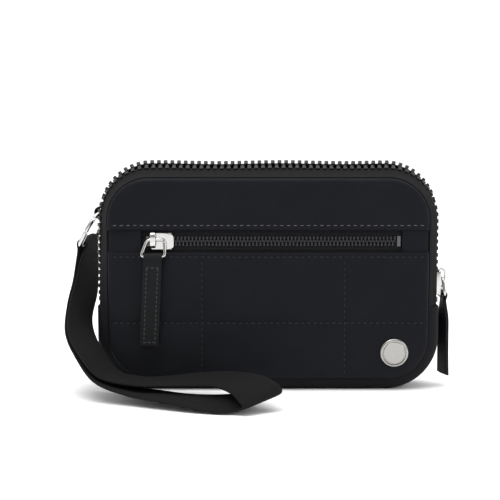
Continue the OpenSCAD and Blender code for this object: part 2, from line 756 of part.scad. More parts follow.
// Which side of the bar the first layer passes on
strap_turn = ring_s * strap_normal(0) > 0 ? 1 : -1;
strap_bend = dring_wire / 2 + strap_t / 2 + 0.45;
strap_round_bar = [
    for (a = [215, 173, 131, 89, 47])
        [ring_foot + strap_bend * (cos(a) * strap_turn * ring_s + sin(a) * ring_v), ring_u * strap_neck]
];
strap_loop = concat(
    strap_round_bar,
    [for (i = [0:strap_last]) strap_side(i, 1)],
    [strap_far],
    [for (i = [strap_last:-1:0]) strap_side(i, -1)]
);
strap_n = len(strap_loop);
// Smooth closed curve through the loop's points, for points and widths alike
function loop_at(t, k) =
    let (
        i = floor(t), f = t - i,
        a = strap_loop[(i + strap_n - 1) % strap_n][k], b = strap_loop[i % strap_n][k],
        c = strap_loop[(i + 1) % strap_n][k], d = strap_loop[(i + 2) % strap_n][k]
    ) 0.5 * (2 * b + (c - a) * f + (2 * a - 5 * b + 4 * c - d) * f * f
        + (3 * b - 3 * c + d - a) * f * f * f);
strap_rings = strap_n * strap_steps;
strap_points = [
    for (j = [0:strap_rings - 1])
        let (
            t = j / strap_steps, p = loop_at(t, 0), w = loop_at(t, 1),
            ahead = loop_at(t + 0.05, 0) - loop_at(t + strap_n - 0.05, 0),
            n = unit(cross(ahead, w)) * strap_t / 2
        )
            each [p - w / 2 - n, p + w / 2 - n, p + w / 2 + n, p - w / 2 + n]
];
module wrist_strap() {
    color("#1c1c1e") polyhedron(
        points = strap_points,
        faces = [
            for (j = [0:strap_rings - 1], k = [0:3])
                let (
                    a = 4 * j + k, b = 4 * j + (k + 1) % 4,
                    c = 4 * ((j + 1) % strap_rings) + (k + 1) % 4,
                    d = 4 * ((j + 1) % strap_rings) + k
                )
                    each [[a, c, b], [a, d, c]]
        ]
    );
}

front_panel_lower();
front_panel_yoke();
pocket_end_tab_left();
pocket_end_tab_right();
front_lining();
front_seam_binding();
pocket_bag();
pocket_zip_tape_upper();
pocket_zip_tape_lower();
pocket_zip_teeth_upper();
pocket_zip_teeth_lower();
pocket_zip_stops();
pocket_zip_slider();
pocket_pull_ring();
pocket_pull_tab();
badge();
badge_washer();
gusset();
gusset_lining();
main_zip_tape_front();
main_zip_teeth_front();
main_zip_tape_back_sides();
main_zip_teeth_back_sides();
main_zip_tape_back_top();
main_zip_teeth_back_top();
main_zip_top_stops();
main_zip_bottom_stop();
main_zip_slider();
main_pull_ring();
main_pull_tab();
back_panel_lower();
back_lining_lower();
back_seam_binding_lower();
back_panel_flap();
back_lining_flap();
back_seam_binding_flap();
strap_tab();
strap_d_ring();
d_ring_gate();
wrist_strap();
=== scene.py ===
# %% [markdown]
# # A quilted zip-around wristlet pouch
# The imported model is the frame: it gives the bodies that move and the boxes of their solids. This
# script dresses it. Soft pieces are surfaces worked out from formulas, so that they crown, roll into
# their seams and bend across the fold of the mouth, and the hardware is rebuilt with rounded edges.
# Shapes are in millimetres until they become a mesh, which is in metres.

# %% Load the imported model
import json
import math

import bpy
import numpy as np
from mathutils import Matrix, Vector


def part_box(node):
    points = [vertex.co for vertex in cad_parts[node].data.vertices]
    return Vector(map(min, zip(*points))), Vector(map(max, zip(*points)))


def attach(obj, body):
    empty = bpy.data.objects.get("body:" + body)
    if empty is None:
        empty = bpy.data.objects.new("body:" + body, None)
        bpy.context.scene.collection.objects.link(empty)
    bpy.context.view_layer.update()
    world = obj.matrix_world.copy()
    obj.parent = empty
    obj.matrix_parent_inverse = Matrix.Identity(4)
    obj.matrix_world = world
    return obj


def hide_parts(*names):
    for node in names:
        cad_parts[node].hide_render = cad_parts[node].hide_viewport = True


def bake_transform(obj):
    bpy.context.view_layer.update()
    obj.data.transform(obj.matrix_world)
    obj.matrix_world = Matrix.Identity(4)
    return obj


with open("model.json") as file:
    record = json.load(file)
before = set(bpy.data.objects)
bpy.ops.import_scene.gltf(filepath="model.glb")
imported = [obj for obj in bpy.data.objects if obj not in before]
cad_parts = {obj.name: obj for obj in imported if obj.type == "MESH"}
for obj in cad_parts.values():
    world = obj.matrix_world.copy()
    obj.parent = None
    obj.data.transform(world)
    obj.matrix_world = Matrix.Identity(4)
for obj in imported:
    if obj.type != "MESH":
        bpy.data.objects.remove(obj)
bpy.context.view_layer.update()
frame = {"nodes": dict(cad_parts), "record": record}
record = frame["record"]
joints = {j["name"]: j for j in record["behaviour"]["joints"]}

# %% [markdown]
# ## The camera
# A long lens set a little above the pouch and a little to its left keeps the panel square while it
# shows the top row of teeth. It looks down by the angle that puts the pouch in the middle.

# %% Camera
LOOK_DOWN = 5.61
camera = bpy.data.objects.new("camera", bpy.data.cameras.new("camera"))
camera.data.sensor_width = 36
camera.data.lens = 84.6
camera.data.clip_start = 0.05
camera.location = (-0.010, -0.650, 0.140)
camera.rotation_euler = (math.radians(90 - LOOK_DOWN), 0, 0)
bpy.context.scene.collection.objects.link(camera)
bpy.context.scene.camera = camera
print("camera", tuple(round(c, 3) for c in camera.location))

# %% [markdown]
# ## Driving sizes
# Every place comes from a solid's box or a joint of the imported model, so that a piece lands where
# its solid is. A few sizes that no box shows, such as the corner radius, are named here.

# %% Sizes read from the frame
MM = 0.001


def span(node):
    """The lowest and highest corner of a solid, in millimetres."""
    low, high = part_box(node)
    return np.array(low) / MM, np.array(high) / MM


def pivot(joint):
    """The point a hinge turns about, in millimetres."""
    return np.array(joints[joint]["pos_m"]) / MM


HALF_W = span("front_panel_lower")[1][0]
PANEL_LOW = span("front_panel_lower")[0][2]
LIP_LOW = span("front_panel_lower")[1][2]
LIP_HIGH, PANEL_TOP = span("front_panel_yoke")[0][2], span("front_panel_yoke")[1][2]
FACE, PANEL_IN = -span("front_panel_lower")[0][1], -span("front_panel_lower")[1][1]
GUSSET_RISE = PANEL_LOW - span("gusset")[0][2]
ZIP_START = span("gusset")[1][2]
FOLD = pivot("mouth_open")
CORNER = 22.5
MOUTH_OPEN = math.radians(14)
FOLD_REACH = 7
SEAM = PANEL_IN + 0.2
print(f"panel {2 * HALF_W:.0f} x {PANEL_TOP - PANEL_LOW:.0f} mm, fold at z {FOLD[2]:.0f}")

# %% [markdown]
# ## Turning arrays into pieces
# A piece is made of islands, which are closed surfaces given as points and faces. The volume inside
# an island is positive when its faces point outwards, so one sum tells whether to turn them round.

# %% Grids, islands and pieces


def grid_faces(rows, columns, wrap_rows=False, wrap_columns=False):
    """Quads between neighbouring points of a grid whose points are numbered row by row."""
    i, j = np.meshgrid(
        np.arange(rows if wrap_rows else rows - 1),
        np.arange(columns if wrap_columns else columns - 1),
        indexing="ij",
    )
    down, right = (i + 1) % rows, (j + 1) % columns
    quad = (i * columns + j, down * columns + j, down * columns + right, i * columns + right)
    return np.stack(quad, -1).reshape(-1, 4)


def capped_faces(rows, columns):
    """Faces of a tube made of rings numbered in turn, and the caps at its two ends."""
    caps = np.stack([np.arange(columns)[::-1], (rows - 1) * columns + np.arange(columns)])
    return grid_faces(rows, columns, False, True), caps


def volume(points, faces):
    """Signed volume of a closed island: the sum of the tetrahedra from the origin to its faces."""
    total = 0.0
    for face in faces:
        a = points[face[:, 0]]
        for k in range(1, face.shape[1] - 1):
            total += np.einsum("ij,ij->", a, np.cross(points[face[:, k]], points[face[:, k + 1]]))
    return total / 6


def island(points, *faces):
    """A closed surface with its faces turned outwards."""
    points = np.asarray(points, float).reshape(-1, 3)
    faces = [np.asarray(f, int) for f in faces]
    if volume(points - points.mean(0), faces) < 0:
        faces = [f[:, ::-1] for f in faces]
    return points, faces


def make_piece(name, islands, material, body, replaces=(), uv=None, crease=35):
    """Joins islands into one object, in metres, that rides on a body, or has its place baked in for the
    mouth.

    Edges sharper than crease degrees stay sharp when the rest is shaded smooth."""
    points = np.concatenate([p for p, _ in islands]) * MM
    start = np.cumsum([0] + [len(p) for p, _ in islands])
    faces = [
        row for (_, groups), s in zip(islands, start) for g in groups for row in (g + s).tolist()
    ]
    mesh = bpy.data.meshes.new(name)
    mesh.from_pydata(points.tolist(), [], faces)
    mesh.materials.append(material)
    if uv is not None:
        layer = mesh.uv_layers.new(name="cloth")
        corner = np.zeros(len(mesh.loops), int)
        mesh.loops.foreach_get("vertex_index", corner)
        layer.data.foreach_set("uv", np.asarray(uv, np.float32)[corner].ravel())
    piece = bpy.data.objects.new(name, mesh)
    bpy.context.scene.collection.objects.link(piece)
    mesh.shade_smooth()
    mesh.set_sharp_from_angle(angle=math.radians(crease))
    if body == "mouth":
        bend_with_mouth(piece)
    else:
        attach(piece, body)
    if replaces:
        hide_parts(*replaces)
    print(f"{name}: {len(faces)} faces on {body}")
    return piece


def two_skins(outer, inner, wrap_rows=False):
    """A closed island from two grids of the same shape, joined along their open borders."""
    rows, columns = outer.shape[:2]
    n = rows * columns
    skin = grid_faces(rows, columns, wrap_rows)
    number = np.arange(n).reshape(rows, columns)
    if wrap_rows:
        loops = [np.append(number[:, 0], number[0, 0]), np.append(number[:, -1], number[0, -1])[::-1]]
    else:
        loops = [np.concatenate([
            number[:, 0], number[-1, 1:], number[-2::-1, -1], number[0, -2::-1]
        ])]
    rims = [np.stack([l[:-1], l[:-1] + n, l[1:] + n, l[1:]], -1) for l in loops]
    points = np.concatenate([outer.reshape(-1, 3), inner.reshape(-1, 3)])
    return island(points, np.concatenate([skin, skin[:, ::-1] + n] + rims))


def band(rings, closed=False):
    """A closed island from cross-sections along a path, capped at its ends unless it is a loop."""
    if closed:
        return island(rings, grid_faces(*rings.shape[:2], True, True))
    return island(rings, *capped_faces(*rings.shape[:2]))


def copies(template, origin, ahead, across, up):
    """One template, given as rings, set at many origins with its axes along three directions."""
    rows, columns = template.shape[:2]
    axes = np.stack(np.broadcast_arrays(ahead, across, up), -2)
    axes = np.broadcast_to(axes, (len(origin), 3, 3))
    placed = origin[:, None] + np.einsum("pk,nkc->npc", template.reshape(-1, 3), axes)
    _, groups = island(placed[0], *capped_faces(rows, columns))
    start = np.arange(len(origin))[:, None, None] * rows * columns
    return [(placed.reshape(-1, 3), [(g[None] + start).reshape(-1, g.shape[1]) for g in groups])]


def unit(v):
    """Vectors made one long."""
    return v / np.linalg.norm(v, axis=-1, keepdims=True)


def xyz(x, y, z):
    """Points from three arrays or numbers whose shapes fit together."""
    return np.stack(np.broadcast_arrays(x, y, z), -1)


def cloth_uv(u, v):
    """The same places on the cloth, in millimetres, for both skins of a piece."""
    return np.tile(np.stack(np.broadcast_arrays(u, v), -1).reshape(-1, 2), (2, 1))


def smooth(t):
    """Eases from 0 to 1: 3 t squared minus 2 t cubed."""
    t = np.clip(t, 0, 1)
    return t * t * (3 - 2 * t)


def squared(v, power=0.6):
    """Pushes values between -1 and 1 outwards, which squares a circle or crowds points at the ends."""
    return np.sign(v) * np.abs(v) ** power


def run_along(path):
    """Length along a path at each of its points: the sum of the steps before it."""
    return np.concatenate([[0], np.cumsum(np.linalg.norm(np.diff(path, axis=0), axis=1))])


def catmull_rom(a, b, c, d, f):
    """The smooth curve from b to c at share f, with a and d as the points beyond them."""
    return 0.5 * (
        2 * b + (c - a) * f + (2 * a - 5 * b + 4 * c - d) * f**2 + (3 * b - 3 * c + d - a) * f**3
    )


print("grid, island, band and curve helpers ready")

# %% [markdown]
# ## Materials
# Each finish is a short node graph on a Principled shader. Cloth is dark because its threads are
# dyed through, so the weave shows by its bump and by small changes of roughness. A value that is
# the same all over is set on the shader's own socket.

# %% Node helpers


class Finish:
    """A material with a Principled shader and short calls to add patterns to it."""

    def __init__(self, name, **sockets):
        self.material = bpy.data.materials.new(name)
        self.material.use_nodes = True
        self.nodes = self.material.node_tree.nodes
        self.shader = self.nodes["Principled BSDF"]
        self.heights = []
        for socket, value in sockets.items():
            self.shader.inputs[socket.replace("_", " ")].default_value = value

    def node(self, kind, inputs=None, **settings):
        """Adds a node, sets its properties, and sets or links its inputs."""
        made = self.nodes.new("ShaderNode" + kind)
        for key, value in settings.items():
            setattr(made, key, value)
        for key, value in (inputs or {}).items():
            if isinstance(value, bpy.types.NodeSocket):
                self.material.node_tree.links.new(value, made.inputs[key])
            else:
                made.inputs[key].default_value = value
        return made

    def place(self, source="Object"):
        """Coordinates in millimetres, from the object or from the piece's own UV map."""
        at = self.node("TexCoord").outputs[source]
        scale = 1000 if source == "Object" else 1
        return self.node("Mapping", {"Vector": at, "Scale": (scale, scale, scale)}).outputs[0]

    def math(self, kind, a, b=0.0):
        """One sum on two values."""
        return self.node("Math", {0: a, 1: b}, operation=kind).outputs[0]

    def sine(self, value, pitch):
        """Even waves from -1 to 1, one every pitch millimetres of value."""
        return self.math("SINE", self.math("MULTIPLY", value, math.tau / pitch))

    def noise(self, at, size, detail=3.0):
        """Smooth noise whose blobs are about size millimetres across."""
        return self.node("TexNoise", {"Vector": at, "Scale": 1 / size, "Detail": detail}).outputs[0]

    def wave(self, at, pitch, direction):
        """Even ridges, one every pitch millimetres."""
        made = self.node("TexWave", {"Vector": at, "Scale": math.tau / 20 / pitch})
        made.bands_direction = direction
        return made.outputs[1]

    def relief(self, height, depth):
        """Adds height, as a bump of depth millimetres, on top of what is there."""
        before = {"Normal": self.heights[-1]} if self.heights else {}
        made = self.node("Bump", {"Height": height, "Distance": depth * MM, "Strength": 1, **before})
        self.heights.append(made.outputs[0])

    def spread(self, socket, value, low, high):
        """Drives a socket with value, from 0 to 1, spread between low and high."""
        if isinstance(low, tuple):
            made = self.node("Mix", {0: value, 6: (*low, 1), 7: (*high, 1)}, data_type="RGBA")
            result = made.outputs[2]
        else:
            made = self.node("MapRange", {0: value, 3: low, 4: high})
            result = made.outputs[0]
        self.material.node_tree.links.new(result, self.shader.inputs[socket])

    def done(self):
        """Links the bumps, if there are any, and gives the material."""
        if self.heights:
            self.material.node_tree.links.new(self.heights[-1], self.shader.inputs["Normal"])
        return self.material


print("node helpers ready")

# %% Cloth finishes
TWILL_PITCH, LINING_PITCH = 0.42, 0.5
CHEVRON, CHEVRON_RIDGE = 1.1, 0.62
WEBBING_RIB, WEBBING_THREAD = 0.9, 0.75


def nylon(name, dark, light, source="Object"):
    """Fine twill: two sets of ridges crossing, with slow clouds of tone and soft creases."""
    made = Finish(name, Roughness=0.62, Specular_IOR_Level=0.09)
    at = made.place(source)
    across = made.wave(at, TWILL_PITCH, "X")
    along = made.wave(at, TWILL_PITCH, "Z" if source == "Object" else "Y")
    weave = made.math("MULTIPLY", across, along)
    clouds = made.noise(at, 26, 4)
    made.spread("Base Color", clouds, dark, light)
    made.spread("Roughness", made.noise(at, 9, 2), 0.52, 0.7)
    made.relief(clouds, 0.8)
    made.relief(weave, 0.03)
    return made.done()


def woven_tape(name, dark, light):
    """Zip tape: a herringbone of fine ridges that lean one way and then the other."""
    made = Finish(name, Roughness=0.8, Specular_IOR_Level=0.1)
    at = made.place("UV")
    run, width, _ = made.node("SeparateXYZ", {"Vector": at}).outputs
    lean = made.math("ADD", run, made.math("PINGPONG", width, CHEVRON))
    ridge, rib = made.sine(lean, CHEVRON_RIDGE), made.sine(width, CHEVRON)
    weave = made.math("ADD", made.math("MULTIPLY", ridge, 0.35), made.math("MULTIPLY", rib, 0.2))
    made.spread("Base Color", made.math("ADD", weave, 0.5), dark, light)
    made.relief(weave, 0.12)
    made.relief(made.noise(at, 0.5, 2), 0.03)
    return made.done()


def webbing_cloth(name, dark, light):
    """Ribbed webbing: ribs across the strap, broken by the threads that run along it."""
    made = Finish(name, Roughness=0.78, Specular_IOR_Level=0.1, Sheen_Weight=0.015, Sheen_Roughness=0.45)
    at = made.place("UV")
    run, width, _ = made.node("SeparateXYZ", {"Vector": at}).outputs
    weave = made.math("MULTIPLY", made.sine(run, WEBBING_RIB), made.sine(width, WEBBING_THREAD))
    made.spread("Base Color", made.math("MULTIPLY_ADD", weave, 0.5), dark, light)
    made.relief(weave, 0.16)
    made.relief(made.noise(at, 7, 3), 0.25)
    return made.done()


def plain_weave(name, dark, light):
    """Matt lining cloth with a plain weave."""
    made = Finish(name, Roughness=0.85, Specular_IOR_Level=0.2)
    at = made.place()
    weave = made.math(
        "MULTIPLY", made.wave(at, LINING_PITCH, "X"), made.wave(at, LINING_PITCH, "Z")
    )
    made.spread("Base Color", made.noise(at, 18, 3), dark, light)
    made.relief(weave, 0.05)
    made.relief(made.noise(at, 12, 2), 0.5)
    return made.done()


panel_cloth = nylon("panel_nylon", (0.0050, 0.0053, 0.0070), (0.0075, 0.0080, 0.0105))
gusset_cloth = nylon("gusset_nylon", (0.0050, 0.0050, 0.0062), (0.0080, 0.0080, 0.0095), "UV")
tape_cloth = woven_tape("zip_tape_cloth", (0.004, 0.004, 0.0045), (0.015, 0.0145, 0.016))
strap_cloth = webbing_cloth("strap_webbing", (0.003, 0.003, 0.0033), (0.012, 0.012, 0.0125))
lining_cloth = plain_weave("lining_cloth", (0.020, 0.021, 0.025), (0.032, 0.033, 0.038))
binding_cloth = woven_tape("binding_cloth", (0.012, 0.012, 0.014), (0.026, 0.026, 0.029))
print("cloth finishes: nylon, tape, webbing, lining, binding")

# %% Leather, thread, plastic and metal finishes


def leather(name, dark, light, rough):
    """Fine pebbled grain with pores, its tone wandering a little and polished on the high spots."""
    made = Finish(name, Specular_IOR_Level=0.13)
    at = made.place()
    cells = made.node("TexVoronoi", {"Vector": at, "Scale": 1.7}, feature="DISTANCE_TO_EDGE")
    grain = made.math("MINIMUM", made.math("MULTIPLY", cells.outputs[0], 4), 1.0)
    made.spread("Base Color", made.noise(at, 5, 4), dark, light)
    made.spread("Roughness", grain, rough + 0.15, rough)
    made.relief(grain, 0.05)
    made.relief(made.noise(at, 1.2, 4), 0.08)
    return made.done()


def thread(name, colour):
    """Twisted sewing thread with a slight sheen."""
    made = Finish(name, Base_Color=(*colour, 1), Roughness=0.5, Specular_IOR_Level=0.4)
    made.relief(made.noise(made.place(), 0.25, 2), 0.05)
    return made.done()


def plated(name, colour, low, high, grain=6.0):
    """Polished plating: the roughness wanders a little and fine scratches catch the light."""
    made = Finish(name, Metallic=1.0)
    at = made.place()
    made.spread("Base Color", made.noise(at, 3, 3), tuple(0.9 * c for c in colour), colour)
    made.spread("Roughness", made.noise(at, grain, 4), low, high)
    made.relief(made.noise(at, 0.9, 3), 0.01)
    return made.done()


def moulded(name, dark, light, rough):
    """Moulded plastic, slightly uneven in its gloss."""
    made = Finish(name, Specular_IOR_Level=0.3)
    at = made.place()
    made.spread("Base Color", made.noise(at, 2.5, 3), dark, light)
    made.spread("Roughness", made.noise(at, 1.5, 3), rough, rough + 0.15)
    made.relief(made.noise(at, 0.8, 2), 0.02)
    return made.done()


tab_leather = leather("tab_leather", (0.0050, 0.0053, 0.0058), (0.0085, 0.0090, 0.0100), 0.5)
light_thread = thread("light_thread", (0.075, 0.075, 0.082))
tab_thread = thread("tab_thread", (0.030, 0.031, 0.033))
dark_thread = thread("dark_thread", (0.010, 0.010, 0.012))
silver = plated("silver_plate", (0.56, 0.555, 0.545), 0.10, 0.22)
satin = plated("satin_badge", (0.37, 0.36, 0.345), 0.20, 0.28)
dull_plate = plated("dull_plate", (0.12, 0.12, 0.12), 0.3, 0.42)
zip_plastic = moulded("zip_tooth_plastic", (0.005, 0.005, 0.0055), (0.009, 0.009, 0.0095), 0.34)
dark_metal = plated("blackened_metal", (0.045, 0.045, 0.048), 0.25, 0.38)
print("leather, thread, plastic and metal finishes ready")

# %% [markdown]
# ## The seam line
# Both panels share one outline, a rounded rectangle. Everything round the edge, from the gusset to
# the teeth, is a profile carried along that outline, so one function gives its points and the
# direction that points out of the pouch.

# %% Outline, distance to it, and the bend of the mouth
CENTRE_Z = (PANEL_LOW + PANEL_TOP) / 2
HALF_H = (PANEL_TOP - PANEL_LOW) / 2
SIDE_Z = PANEL_TOP - CORNER
TURN = CORNER * math.pi / 2


def seam_line(s):
    """Point and outward direction at length s up the left side, over the top and down the right."""
    side, top = SIDE_Z - ZIP_START, 2 * (HALF_W - CORNER)
    ends = np.cumsum([side, TURN, top, TURN])
    x = np.full_like(s, -HALF_W)
    z = ZIP_START + s
    angle = np.full_like(s, math.pi)
    corners = ((ends[0], CORNER - HALF_W, math.pi), (ends[2], HALF_W - CORNER, math.pi / 2))
    for start, cx, a0 in corners:
        inside = (s >= start) & (s <= start + TURN)
        a = a0 - (s - start) / CORNER
        x = np.where(inside, cx + CORNER * np.cos(a), x)
        z = np.where(inside, SIDE_Z + CORNER * np.sin(a), z)
        angle = np.where(inside, a, angle)
    flat = (s > ends[1]) & (s < ends[2])
    x = np.where(flat, -HALF_W + CORNER + s - ends[1], x)
    z = np.where(flat, PANEL_TOP, z)
    angle = np.where(flat, math.pi / 2, angle)
    down = s > ends[3]
    x = np.where(down, HALF_W, x)
    z = np.where(down, SIDE_Z - (s - ends[3]), z)
    angle = np.where(down, 0.0, angle)
    return np.stack([x, z], -1), np.stack([np.cos(angle), np.sin(angle)], -1)


SEAM_RUN = 2 * (SIDE_Z - ZIP_START) + 2 * TURN + 2 * (HALF_W - CORNER)


def inside_by(x, z, radius=CORNER):
    """How far a point lies inside the panel's outline, in millimetres."""
    qx = np.abs(x) - (HALF_W - radius)
    qz = np.abs(z - CENTRE_Z) - (HALF_H - radius)
    beyond = np.hypot(np.maximum(qx, 0), np.maximum(qz, 0))
    return radius - beyond - np.minimum(np.maximum(qx, qz), 0)


def half_width(z):
    """Half the panel's width at height z: less where the corners round off."""
    into = np.maximum(np.abs(z - CENTRE_Z) - (HALF_H - CORNER), 0)
    return HALF_W - CORNER + np.sqrt(np.maximum(CORNER**2 - into**2, 0))


def lean_back(points):
    """Turns points above the fold about it by the angle of the open mouth, easing in round it."""
    angle = MOUTH_OPEN * smooth((points[..., 2] - FOLD[2] + FOLD_REACH) / (2 * FOLD_REACH))
    y, z = points[..., 1] - FOLD[1], points[..., 2] - FOLD[2]
    turned = points.copy()
    turned[..., 1] = FOLD[1] + y * np.cos(angle) + z * np.sin(angle)
    turned[..., 2] = FOLD[2] + z * np.cos(angle) - y * np.sin(angle)
    return turned


def leaned(points, back):
    """Points of the back leant with the mouth, and those of the front as they are."""
    return lean_back(points) if back else points


def side_body(back):
    """The body a piece is given: the mouth for the back, whose place is then baked, and the shell for the
    front.
    """
    return "mouth" if back else "shell"


def bend_with_mouth(piece):
    """Bakes a back piece's place into its mesh, which was already leant with the mouth; it rides on no
    body.
    """
    top = lean_back(np.array([[0, FOLD[1], FOLD[2] + FOLD_REACH]]))[0] * MM
    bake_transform(piece)


print(f"the zip's seam is {SEAM_RUN:.0f} mm long")

# %% [markdown]
# ## Padded panels
# A padded panel is two layers of nylon with thin wadding between, sewn through along a few lines.
# The outer skin rolls down into the seam all round, sinks a little along each sewn line and rises
# between them. The grid follows the outline: each row runs the full width at its height, with its
# points crowded towards the edges, where the roll is.

# %% A panel's grid and its outer surface
QUILT_Z = 37.6
QUILT_X = (-36.2, 41.6)
LIP_STITCH_LOW, LIP_STITCH_HIGH = LIP_LOW - 2.8, LIP_HIGH + 3.0
EDGE_STEPS = np.array([0, 0.12, 0.3, 0.55, 0.9, 1.35, 1.9, 2.6, 3.5, 4.6, 6.0])
random = np.random.default_rng(7)
FOLDS = [
    (random.uniform(0.02, 0.075), random.uniform(0, math.tau), random.uniform(0, math.tau), a)
    for a in (0.16, 0.13, 0.10, 0.08, 0.06, 0.05)
]


def crowded(length, step):
    """Places from 0 to length, close together near both ends."""
    middle = np.linspace(EDGE_STEPS[-1], length - EDGE_STEPS[-1], max(3, round(length / step)))
    return np.concatenate([EDGE_STEPS[:-1], middle, (length - EDGE_STEPS[:-1])[::-1]])


def panel_grid(low, high, step=0.9):
    """x and z of a grid between two heights that fills the panel's outline."""
    z = (low + crowded(high - low, step))[:, None]
    share = crowded(2 * HALF_W, step)[None, :] / HALF_W - 1
    near_edge = HALF_W * (1 - np.abs(share))
    width = half_width(z)
    room = (width - EDGE_STEPS[-1]) / (HALF_W - EDGE_STEPS[-1])
    x = np.where(
        near_edge < EDGE_STEPS[-1],
        np.sign(share) * (width - near_edge),
        share * HALF_W * room,
    )
    return x, np.broadcast_to(z, x.shape)


def sewn(distance, along, pitch, depth=0.34):
    """The dip along a sewn line: a narrow groove in a wide shallow one, puckered at each stitch."""
    groove = depth * np.exp(-((distance / 0.8) ** 2)) + 0.28 * np.exp(-((distance / 5.0) ** 2))
    pucker = 0.11 * np.exp(-((distance / 2.6) ** 2)) * np.cos(math.tau * along / pitch)
    return groove + pucker


def creases(x, z):
    """Slow uneven waves, as cloth over wadding has."""
    total = 0.0
    for k, heading, phase, size in FOLDS:
        run = x * math.cos(heading) + z * math.sin(heading)
        total = total + size * np.sin(math.tau * k * run + phase)
    return total


def quilted_height(x, z, lines_x=QUILT_X, lines_z=(QUILT_Z,), lips=(LIP_STITCH_LOW, LIP_STITCH_HIGH)):
    """How far the outer skin lies in front of the lining side, sewn lines and rolled seam included."""
    dip = 0.0
    for line in lines_z:
        dip = np.maximum(dip, sewn(z - line, x, 3.4))
    for line in lines_x:
        dip = np.maximum(dip, sewn(x - line, z, 3.2) * np.clip((lips[0] - z) / 1.5, 0, 1))
    for line in lips:
        dip = np.maximum(dip, sewn(z - line, x, 3.6, 0.22) * 0.8)
    crown = FACE - PANEL_IN + 0.45
    roll = np.clip(inside_by(x, z) / 4.5, 0, 1)
    return (crown - dip + creases(x, z)) * np.sqrt(1 - (1 - roll) ** 4) + 0.25


def lip_roll(height, gap, radius=1.0):
    """Rounds the folded edge of cloth beside the pocket zip; gap is the distance to that edge."""
    t = np.clip(gap / radius, 0, 1)
    return height * np.sqrt(np.maximum(1 - (1 - t) ** 2, 0)) * 0.94 + height * 0.06


def padded_panel(name, low, high, lip, node):
    """A front panel between two heights; lip is the height of its folded edge."""
    x, z = panel_grid(low, high)
    height = lip_roll(quilted_height(x, z), np.abs(z - lip))
    skins = xyz(x, -PANEL_IN - height, z), xyz(x, -PANEL_IN, z)
    piece = make_piece(name, [two_skins(*skins)], panel_cloth, "shell", [node])


padded_panel("front_panel_quilted", PANEL_LOW, LIP_LOW, LIP_LOW, "front_panel_lower")
padded_panel("front_yoke_padded", LIP_HIGH, PANEL_TOP, LIP_HIGH, "front_panel_yoke")

# %% [markdown]
# ## Stitches
# Every stitch is a short rounded capsule of thread that sinks into the cloth at both ends. They are
# one template copied along a line, so a row is one mesh with a few dozen faces for each stitch.

# %% Stitches along lines
STITCH_SHARE, STITCH_RADIUS = 0.62, 0.24
ROW_END = 2.5


def stitch_template(sides=6):
    """A capsule arched over its length, from -0.5 to 0.5 along x, its top along z."""
    along = np.array([-0.5, -0.42, -0.2, 0.2, 0.42, 0.5])
    radius = np.array([0.35, 0.8, 1, 1, 0.8, 0.35])
    sink = np.array([-1.1, -0.35, 0, 0, -0.35, -1.1])
    a = math.tau * np.arange(sides) / sides
    radius, sink = radius[:, None], sink[:, None]
    return xyz(along[:, None], radius * np.cos(a), radius * np.sin(a) + sink)


def stitch_islands(centre, run, out, length, radius):
    """Stitches at centres, each along its run direction with its top towards out."""
    out = unit(out - np.sum(out * run, -1, keepdims=True) * run)
    run = unit(run)
    template = stitch_template() * (length, radius, radius)
    return copies(template, centre, run, np.cross(out, run), out)


def line_of_stitches(a, b, pitch, surface, side):
    """Stitches from a to b, lying on the height field of the front (-1) or the back (1)."""
    a, b = np.array(a, float), np.array(b, float)
    count = int(np.linalg.norm(b - a) / pitch)
    t = (np.arange(count) + 0.5) / count
    x, z = (a + t[:, None] * (b - a)).T
    centre = xyz(x, side * (PANEL_IN + surface(x, z) + 0.35 * STITCH_RADIUS), z)
    run, out = np.array([b[0] - a[0], 0, b[1] - a[1]]), np.array([0.0, side, 0])
    return stitch_islands(centre, run, out, STITCH_SHARE * pitch, STITCH_RADIUS)


def row_across(z, pitch=3.4, surface=quilted_height, side=-1):
    """A row at one height that stops short of the panel's edges."""
    end = half_width(np.array([z]))[0] - 2.4
    return line_of_stitches((-end, z), (end, z), pitch, surface, side)


def row_up(x, low, high, surface=quilted_height, side=-1):
    """A row from one height to another."""
    return line_of_stitches((x, low), (x, high), 3.2, surface, side)


make_piece("yoke_stitches", row_across(LIP_STITCH_HIGH, 3.6), light_thread, "shell")
dark_rows = row_across(LIP_STITCH_LOW) + row_across(QUILT_Z)
for quilt_x in QUILT_X:
    dark_rows += row_up(quilt_x, PANEL_LOW + ROW_END, LIP_STITCH_LOW - 1.5)
make_piece("quilting_stitches", dark_rows, dark_thread, "shell")

# %% [markdown]
# ## The pocket's opening
# Between the two lips the zip lies on its tapes. Past each end of the chain the opening is covered
# by a short piece of the same nylon, folded under where it meets the chain.

# %% Pocket end covers and tapes
POCKET_LEFT = span("pocket_end_tab_left")[1][0]
POCKET_RIGHT = span("pocket_end_tab_right")[0][0]
POCKET_Y, POCKET_Z = -PANEL_IN + 0.35, (LIP_LOW + LIP_HIGH) / 2


def pocket_end(name, x0, x1, fold_x, node):
    """A flat cover between the lips, rolled at the end that faces the chain."""
    z, across = np.meshgrid(
        np.linspace(LIP_LOW - 1.2, LIP_HIGH + 1.2, 30), np.linspace(0, 1, 40), indexing="ij"
    )
    x = x0 + (x1 - x0) * across
    limit = half_width(z) - 0.6
    x = np.clip(x, -limit, limit)
    ends = np.clip(np.abs(x - fold_x) / 0.8, 0, 1)
    edge = np.clip((half_width(z) - np.abs(x)) / 3, 0, 1)
    height = 1.25 * np.sqrt(1 - (1 - ends) ** 2) * np.sqrt(1 - (1 - edge) ** 2) + 0.1
    height = height + 0.12 * np.sin((x + z) * 0.5) * edge * ends
    skins = xyz(x, -PANEL_IN - height, z), xyz(x, -PANEL_IN + 0.02, z)
    make_piece(name, [two_skins(*skins)], panel_cloth, "shell", [node])


